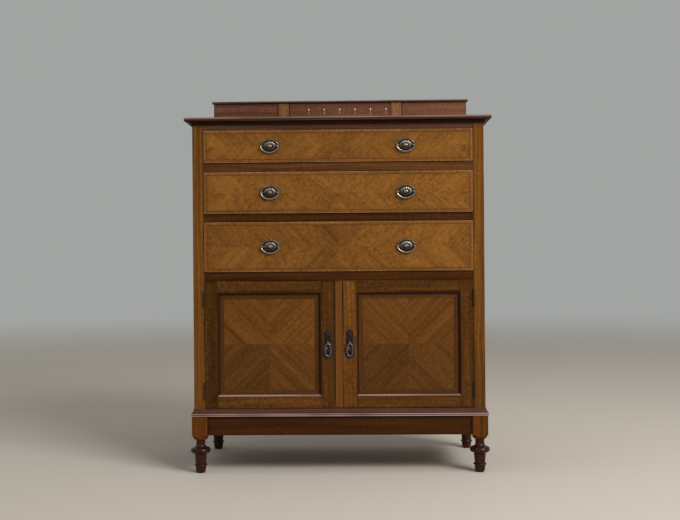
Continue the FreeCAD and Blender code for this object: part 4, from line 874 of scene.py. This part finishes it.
# share of the way out from the middle, mm above the wood, and how bright it is rubbed
PLATE_SECTION = (
    (1.0, 0.0, 0.0), (1.0, 1.6, 0.15), (0.975, 2.3, 0.3), (0.95, 2.2, 0.2), (0.915, 1.9, 0.1),
    (0.87, 2.6, 0.7), (0.845, 2.5, 0.5), (0.82, 1.6, 0.0), (0.76, 1.2, 0.0), (0.66, 1.3, 0.0),
    (0.6, 2.2, 0.3), (0.57, 3.3, 0.8), (0.5, 4.1, 0.8), (0.36, 4.4, 0.4), (0.22, 4.2, 0.3),
    (0.18, 4.9, 1.0), (0.08, 5.2, 1.0),
)
FLUTES = 14
FLUTE_DEPTH, FLUTE_BRIGHT = 0.9, 0.7
FLUTED = (0.2, 0.6)
# how much duller the lower half of each pressed oval is made: painted shade, as the light falls from above
LOWER_HALF_SHADE = 0.4
AROUND, AROUND_SMALL = 84, 64
BEAD_LINE, BEAD_SEAT, PATH_POINTS = 0.935, 2 * MM, 96
BAIL_SHARE = 0.9
POST_BRIGHT = 0.5
PRESSED, CAST = 30, 40


def oval_point(middle, half, share, angle, y):
    x, z = half[0] * share * math.cos(angle), half[1] * share * math.sin(angle)
    return Vector((middle.x + x, y, middle.z + z))


def relief_plate(batch, middle, half, face_y, section, fluted, around=AROUND):
    """A pressed oval: rings of points that follow a section, with flutes where it says.

    Its lower half is made duller towards the bottom as painted shade, the light falling from above.
    """
    shape, rubbed, rings = bmesh.new(), [], []
    for share, height, bright in section:
        ring = []
        for i in range(around):
            angle = TURN * i / around
            flute = abs(math.sin(angle * FLUTES / 2)) if fluted[0] < share < fluted[1] else 1.0
            lift = (height - FLUTE_DEPTH * (1 - flute)) * MM
            ring.append(shape.verts.new(oval_point(middle, half, share, angle, face_y - lift)))
            shade_below = 1.0 - LOWER_HALF_SHADE * (1.0 - math.sin(angle))
            rubbed.append(bright * (1.0 - FLUTE_BRIGHT + FLUTE_BRIGHT * flute) * shade_below)
        rings.append(ring)
    centre = shape.verts.new((middle.x, face_y - section[-1][1] * MM, middle.z))
    rubbed.append(section[-1][2])
    for i in range(around):
        for outer_ring, inner_ring in zip(rings, rings[1:]):
            shape.faces.new((outer_ring[i - 1], outer_ring[i], inner_ring[i], inner_ring[i - 1]))
        shape.faces.new((rings[-1][i - 1], rings[-1][i], centre))
    shape.faces.new(rings[0][::-1])
    bmesh.ops.recalc_face_normals(shape, faces=shape.faces)
    before = len(batch["relief"])
    add_shape(batch, shape)
    batch["relief"][before:] = rubbed


def bead_path(middle, half, share, face_y):
    """A closed path round an oval, as its points and its edges."""
    points = [oval_point(middle, half, share, TURN * i / PATH_POINTS, face_y) for i in range(PATH_POINTS)]
    return points, [(i, (i + 1) % PATH_POINTS) for i in range(PATH_POINTS)]


def polish_casting(node, finish, share):
    """Finish a casting; its front share is made bright, partly from handling and partly as a painted highlight,
    and the rest left dull.
    """
    def handled(shape):
        low, high = box_of(shape)
        return {"rubbed": lambda point: max(0.0, 1.0 - (point.y - low.y) / (high.y - low.y) / share)}

    remake(node, [finish], handled, smooth=CAST)


pivots = {joint["name"]: Vector(joint["pos_m"]) for joint in frame["joints"] if "pos_m" in joint}
for drawer in DRAWERS:
    face_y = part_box(drawer + "_front")[0].y
    fittings = new_batch()
    paths, links = [], []
    for hand in ("left", "right"):
        bail = "%s_bail_%s" % (drawer, hand)
        pivot = pivots[bail + "_swing"]
        relief_plate(fittings, pivot, PLATE, face_y, PLATE_SECTION, FLUTED)
        points, edges = bead_path(pivot, PLATE, BEAD_LINE, face_y - BEAD_SEAT)
        links += [(len(paths) + i, len(paths) + j) for i, j in edges]
        paths += points
        polish_casting(bail, bail_brass, BAIL_SHARE)
    for shape in solids_in(drawer + "_handles"):
        low, high = box_of(shape)
        if high.x - low.x < PLATE[0]:
            add_shape(fittings, shape, rubbed=lambda point: POST_BRIGHT)
        else:
            shape.free()
    make_piece(drawer + "_plates", fittings, [plate_brass], drawer,
               [drawer + "_handles"], PRESSED)
    grow(drawer + "_plate_beads", beads, paths, links, drawer, "handle_brass",
         count=40, radius=1.35 * MM, height=0.75, finish=bead_brass)

# ------------------------ doors
# Framed and panelled: two stiles and two rails, grooved for a flat panel that is faced with four
# matched quarters of striped veneer. A moulding is mitred into the corner between frame and
# panel: a round over a low flat in the colour of the frame. The round is coloured nearly black,
# a dark stain and painted shade under the frame's edge together, and its lowest length carries a
# painted highlight.

door_brown = timber_finish(
    "door mahogany", "673f15", "3d2207", "281305", "7c5628", coat=0.08, ribbon_width=0.014, ribbon=0.65,
    mottle=0.3, grime=0.45, grime_reach=0.01, wear=0.25)
panel_veneer = timber_finish(
    "panel veneer", "784b1e", "57330e", "42250d", "8c6030", coat=0.1, ribbon_width=0.016, pores=0.3,
    fleck=0.3, grime=0.2, wear=0.0, polish=0.36)
stained = {"ribbon_width": 0.01, "ribbon": 0.4, "fibre": 0.3, "pores": 0.2, "mottle": 0.1, "grime": 0.0,
           "polish": 0.3}
flat_wood = timber_finish(
    "moulding flat", "5a3818", "402610", "2c180a", "80583c", coat=0.1, wear=0.0, **stained)
# Nearly black: a dark stain and painted shade under the frame's edge; its pale fourth colour is the painted
# highlight along the lowest length.
round_wood = timber_finish(
    "moulding round", "3a1a0c", "281108", "1c0b04", "b49282", coat=0.06, wear=0.85, rubbed=0.01 * MM,
    **stained)
FLAT_RISE = 2.4 * MM
# the tones of each door's four leaves, then of its hinge stile, meeting stile, top and bottom rail
DOORS = {"door_left": ((1.06, 1.10, 0.80, 1.0), (0.98, 1.1, 1.02, 1.5)),
         "door_right": ((1.02, 1.03, 0.76, 0.84), (1.25, 1.95, 1.0, 1.32))}
NEAR_MIDDLE = 100 * MM
LOWEST_LENGTH = 40 * MM

for door, (leaf_tones, frame_tones) in DOORS.items():
    low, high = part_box(door + "_panel")
    middle = (low + high) / 2

    def faded_board(centre):
        """Each board of a door's frame has its own tone."""
        hinge_stile, meeting_stile, top_rail, bottom_rail = frame_tones
        if abs(centre.z - middle.z) > NEAR_MIDDLE:
            return top_rail if centre.z > middle.z else bottom_rail
        return meeting_stile if abs(centre.x) < NEAR_MIDDLE else hinge_stile

    dress(door + "_frame", door_brown, tone=faded_board)
    round_starts = low.y - FLAT_RISE
    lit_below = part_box(door + "_moulding")[0].z + LOWEST_LENGTH

    def stuck(shape):
        """Painted highlight: the round of the lowest length is made pale towards its front, where the light from
        above would catch it.
        """
        shape_low, shape_high = box_of(shape)
        rise = round_starts - shape_low.y
        lit_length = shape_high.z < lit_below
        return {"rubbed": lambda point: max(0.0, (round_starts - point.y) / rise) ** 3 if lit_length else 0.0,
                "finish": lambda face: 0 if face.calc_center_median().y < round_starts else 1}

    remake(door + "_moulding", [round_wood, flat_wood], stuck, smooth=SMOOTH_CURVE)
    remake(door + "_panel", [brown], make_room, door + "_panel_core", along=ALONG_Z)
    leaves = new_batch()
    whole = (low, Vector((high.x, low.y + VENEER, high.z)))
    quarters(leaves, (low.x, low.z), (high.x, high.z), leaf_tones, whole)
    make_piece(door + "_panel_veneer", leaves, [panel_veneer], door)

# ------------------------ door handles
# Each meeting stile has a dark bronzed plate, an oval with a round tongue above it, pressed with a
# fluted rosette in each and beaded round the oval. A forked stud stands out of it, and the drop
# hangs on a pin through the fork.

plate_bronze = metal_finish("plate bronze", "6e5658", "1a0f12", 0.12)
drop_bronze = metal_finish("drop bronze", "968682", "1c1414", 0.08)
bead_bronze = metal_finish("bead bronze", "a09094", "1c1414", 0.55)
DROP_SHARE = 0.7
TONGUE = (6.6 * MM, 11.5 * MM)
TONGUE_BELOW_TOP = 16 * MM
TONGUE_SECTION = (
    (1.0, 1.6, 0.1), (0.96, 2.5, 0.4), (0.88, 2.7, 0.8), (0.8, 2.3, 0.1), (0.66, 2.2, 0.0),
    (0.58, 2.6, 0.4), (0.36, 3.0, 0.9), (0.14, 3.1, 0.9),
)
OVAL = (17.2 * MM, 26.5 * MM)
OVAL_SECTION = (
    (0.97, 1.0, 0.1), (0.95, 2.3, 0.3), (0.9, 2.6, 0.4), (0.85, 2.3, 0.2), (0.78, 2.1, 0.0),
    (0.5, 2.1, 0.0), (0.44, 2.6, 0.7), (0.3, 3.0, 0.9), (0.12, 3.2, 1.1),
)
OVAL_FLUTED, TONGUE_FLUTED = (0.11, 0.46), (0.13, 0.6)
OVAL_BEADS, OVAL_SEAT = 0.9, 2.4 * MM
PLATE_EASED, PLATE_BACK = 0.5 * MM, 1 * MM
for door in DOORS:
    plate = door + "_plate"
    low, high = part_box(plate)
    lower = Vector(((low.x + high.x) / 2, 0, low.z + OVAL[1]))
    upper = Vector((lower.x, 0, high.z - TONGUE_BELOW_TOP))
    fittings = new_batch()
    for shape in solids_in(plate):
        ease_edges(shape, PLATE_EASED, lambda e: all(v.co.y < high.y - PLATE_BACK for v in e.verts))
        add_shape(fittings, shape)
    relief_plate(fittings, lower, OVAL, high.y, OVAL_SECTION, OVAL_FLUTED, AROUND_SMALL)
    relief_plate(fittings, upper, TONGUE, high.y, TONGUE_SECTION, TONGUE_FLUTED, AROUND_SMALL)
    make_piece(door + "_backplate", fittings, [plate_bronze], door, [plate], PRESSED)
    path = bead_path(lower, OVAL, OVAL_BEADS, high.y - OVAL_SEAT)
    grow(door + "_plate_beads", beads, *path, door, "dark_bronze",
         count=36, radius=1.1 * MM, height=0.8, finish=bead_bronze)
    polish_casting(door + "_drop", drop_bronze, DROP_SHARE)

# ------------------------ hinges and catches
# Brass butts let into the door's edge and the post, three countersunk screws in each leaf, with
# the knuckles standing out at the front. Two ball catches in the muntin hold the doors shut.

hinge_brass = metal_finish("hinge brass", "6a5438", "2a1c10", 0.3, relief=0.1)
screw_steel = metal_finish("screw steel", "8a8478", "38302a", 0.5)
for node in ("hinge_leaves", "hinge_pins", "door_left_hinges", "door_right_hinges", "door_catches"):
    cad[node].data.materials[0] = hinge_brass
SLOT_PAST_HEAD = 3.0


def screw_row():
    """A tree that sets a slotted countersunk screw head at each point, facing along X."""
    tree, given, out = new_row("screw_row", radius=2.5 * MM, proud=0.2 * MM, slot=0.6 * MM, seed=5,
                               finish="Material")
    depth = calc(tree, "MULTIPLY", given["Proud"], 2.0)
    head = wire(tree, "GeometryNodeMeshCylinder", {"Vertices": 20, "Radius": given["Radius"], "Depth": depth})
    length = calc(tree, "MULTIPLY", given["Radius"], SLOT_PAST_HEAD)
    size = triple(tree, length, given["Slot"], given["Proud"])
    groove = wire(tree, "GeometryNodeMeshCube", {"Size": size})
    groove = move(tree, groove, Translation=triple(tree, z=given["Proud"]))
    parts = {"Mesh 1": head, "Mesh 2": groove}
    slotted = wire(tree, "GeometryNodeMeshBoolean", parts, operation="DIFFERENCE")
    slotted = move(tree, slotted, Rotation=(0, math.pi / 2, 0))
    spin = wire(tree, "FunctionNodeRandomValue", {2: 0.0, 3: math.pi, "Seed": given["Seed"]}, 1)
    return end_row(tree, out, given["Geometry"], slotted, given["Finish"], Rotation=triple(tree, spin))


screws = screw_row()
SCREW_GAP = 16 * MM
LEAF_MIDDLE = 8 * MM


def screw_spots(side, hinge_heights, face_x):
    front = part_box("front_posts")[0].y
    return [Vector((side * face_x, front + LEAF_MIDDLE, height + i * SCREW_GAP))
            for height in hinge_heights for i in (-1, 0, 1)]


post_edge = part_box("drawer_rails")[1].x
post_spots = []
for side, door in zip((-1, 1), DOORS):
    centres = [sum(corner.z for corner in box_of(shape)) / 2 for shape in solids_in(door + "_hinges")]
    door_edge = max(abs(corner.x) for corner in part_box(door + "_frame"))
    spots = screw_spots(side, centres, door_edge)
    grow(door + "_screws", screws, spots, [], door, "hinge_brass", finish=screw_steel)
    post_spots += screw_spots(side, centres, post_edge)
grow("post_screws", screws, post_spots, [], "carcase", "hinge_brass", finish=screw_steel)

# ------------------------ studio
# A pale floor that runs out into a plain grey ground, one broad soft box high at the front right,
# and a long one overhead.

GROUND = "a2a4a2"
NEAR, FAR = 3.0, 9.0
floor_look = {"Base Color": linear("c8beb2"), "Roughness": 0.8, "Specular IOR Level": 0.2}
floor_finish, floor_tree, floor_surface = new_finish("studio floor", floor_look)
here = wire(floor_tree, "ShaderNodeTexCoord", output="Object")
away = wire(floor_tree, "ShaderNodeVectorMath", {0: here}, "Value", operation="LENGTH")
distant = wire(floor_tree, "ShaderNodeEmission", {"Color": linear(GROUND)})
blend = {0: spread(floor_tree, away, NEAR, FAR), 1: floor_surface.outputs["BSDF"], 2: distant}
ground = wire(floor_tree, "ShaderNodeMixShader", blend)
floor_tree.links.new(ground, floor_tree.nodes["Material Output"].inputs["Surface"])
floor_shape = bmesh.new()
bmesh.ops.create_grid(floor_shape, x_segments=1, y_segments=1, size=60.0)
floor_mesh = bpy.data.meshes.new("studio_floor")
floor_shape.to_mesh(floor_mesh)
floor_shape.free()
floor_mesh.materials.append(floor_finish)
new_object("studio_floor", floor_mesh)

world = bpy.data.worlds.new("studio")
bpy.context.scene.world = world
world.use_nodes = True
backdrop = world.node_tree.nodes["Background"]
backdrop.inputs["Color"].default_value = linear(GROUND)
backdrop.inputs["Strength"].default_value = 1.0


def soft_box(name, place, aim, size, energy):
    """A rectangular lamp at a place, facing a point."""
    made = new_object(name, bpy.data.lights.new(name, "AREA"))
    made.data.shape = "RECTANGLE"
    made.data.size, made.data.size_y = size
    made.data.energy = energy
    made.location = place
    made.rotation_euler = (Vector(aim) - Vector(place)).to_track_quat("-Z", "Y").to_euler()


soft_box("key", place=(3.0, -3.4, 3.6), aim=(0, 0, 0.65), size=(2.6, 2.0), energy=250)
soft_box("overhead", place=(0.2, -0.5, 3.2), aim=(0.2, -0.4, 1.0), size=(3.0, 0.8), energy=12)

bpy.context.scene.view_settings.view_transform = "Standard"

# ------------------------ camera
# Level, straight on, at about table height, a hand's breadth to the right of the middle.

FRAME_WIDTH = 680
FOCAL_PIXELS = 1032.28
SENSOR = 36.0
YAW, PITCH, ROLL = -0.0216, -0.0014, -0.0078
SHIFT_X, SHIFT_Y = 2.74, -1.835
PLACE = Vector((0.0665, -3.4538, 0.6786))
view = bpy.data.cameras.new("camera")
view.sensor_width = SENSOR
view.lens = FOCAL_PIXELS * SENSOR / FRAME_WIDTH
view.shift_x, view.shift_y = SHIFT_X / FRAME_WIDTH, SHIFT_Y / FRAME_WIDTH
forward = Vector((math.sin(YAW) * math.cos(PITCH), math.cos(YAW) * math.cos(PITCH), math.sin(PITCH)))
level_right = Vector((math.cos(YAW), -math.sin(YAW), 0))
level_up = level_right.cross(forward)
right = level_right * math.cos(ROLL) + level_up * math.sin(ROLL)
up = level_up * math.cos(ROLL) - level_right * math.sin(ROLL)
camera = new_object("camera", view)
camera.matrix_world = Matrix.Translation(PLACE) @ Matrix((right, up, -forward)).transposed().to_4x4()
bpy.context.scene.camera = camera
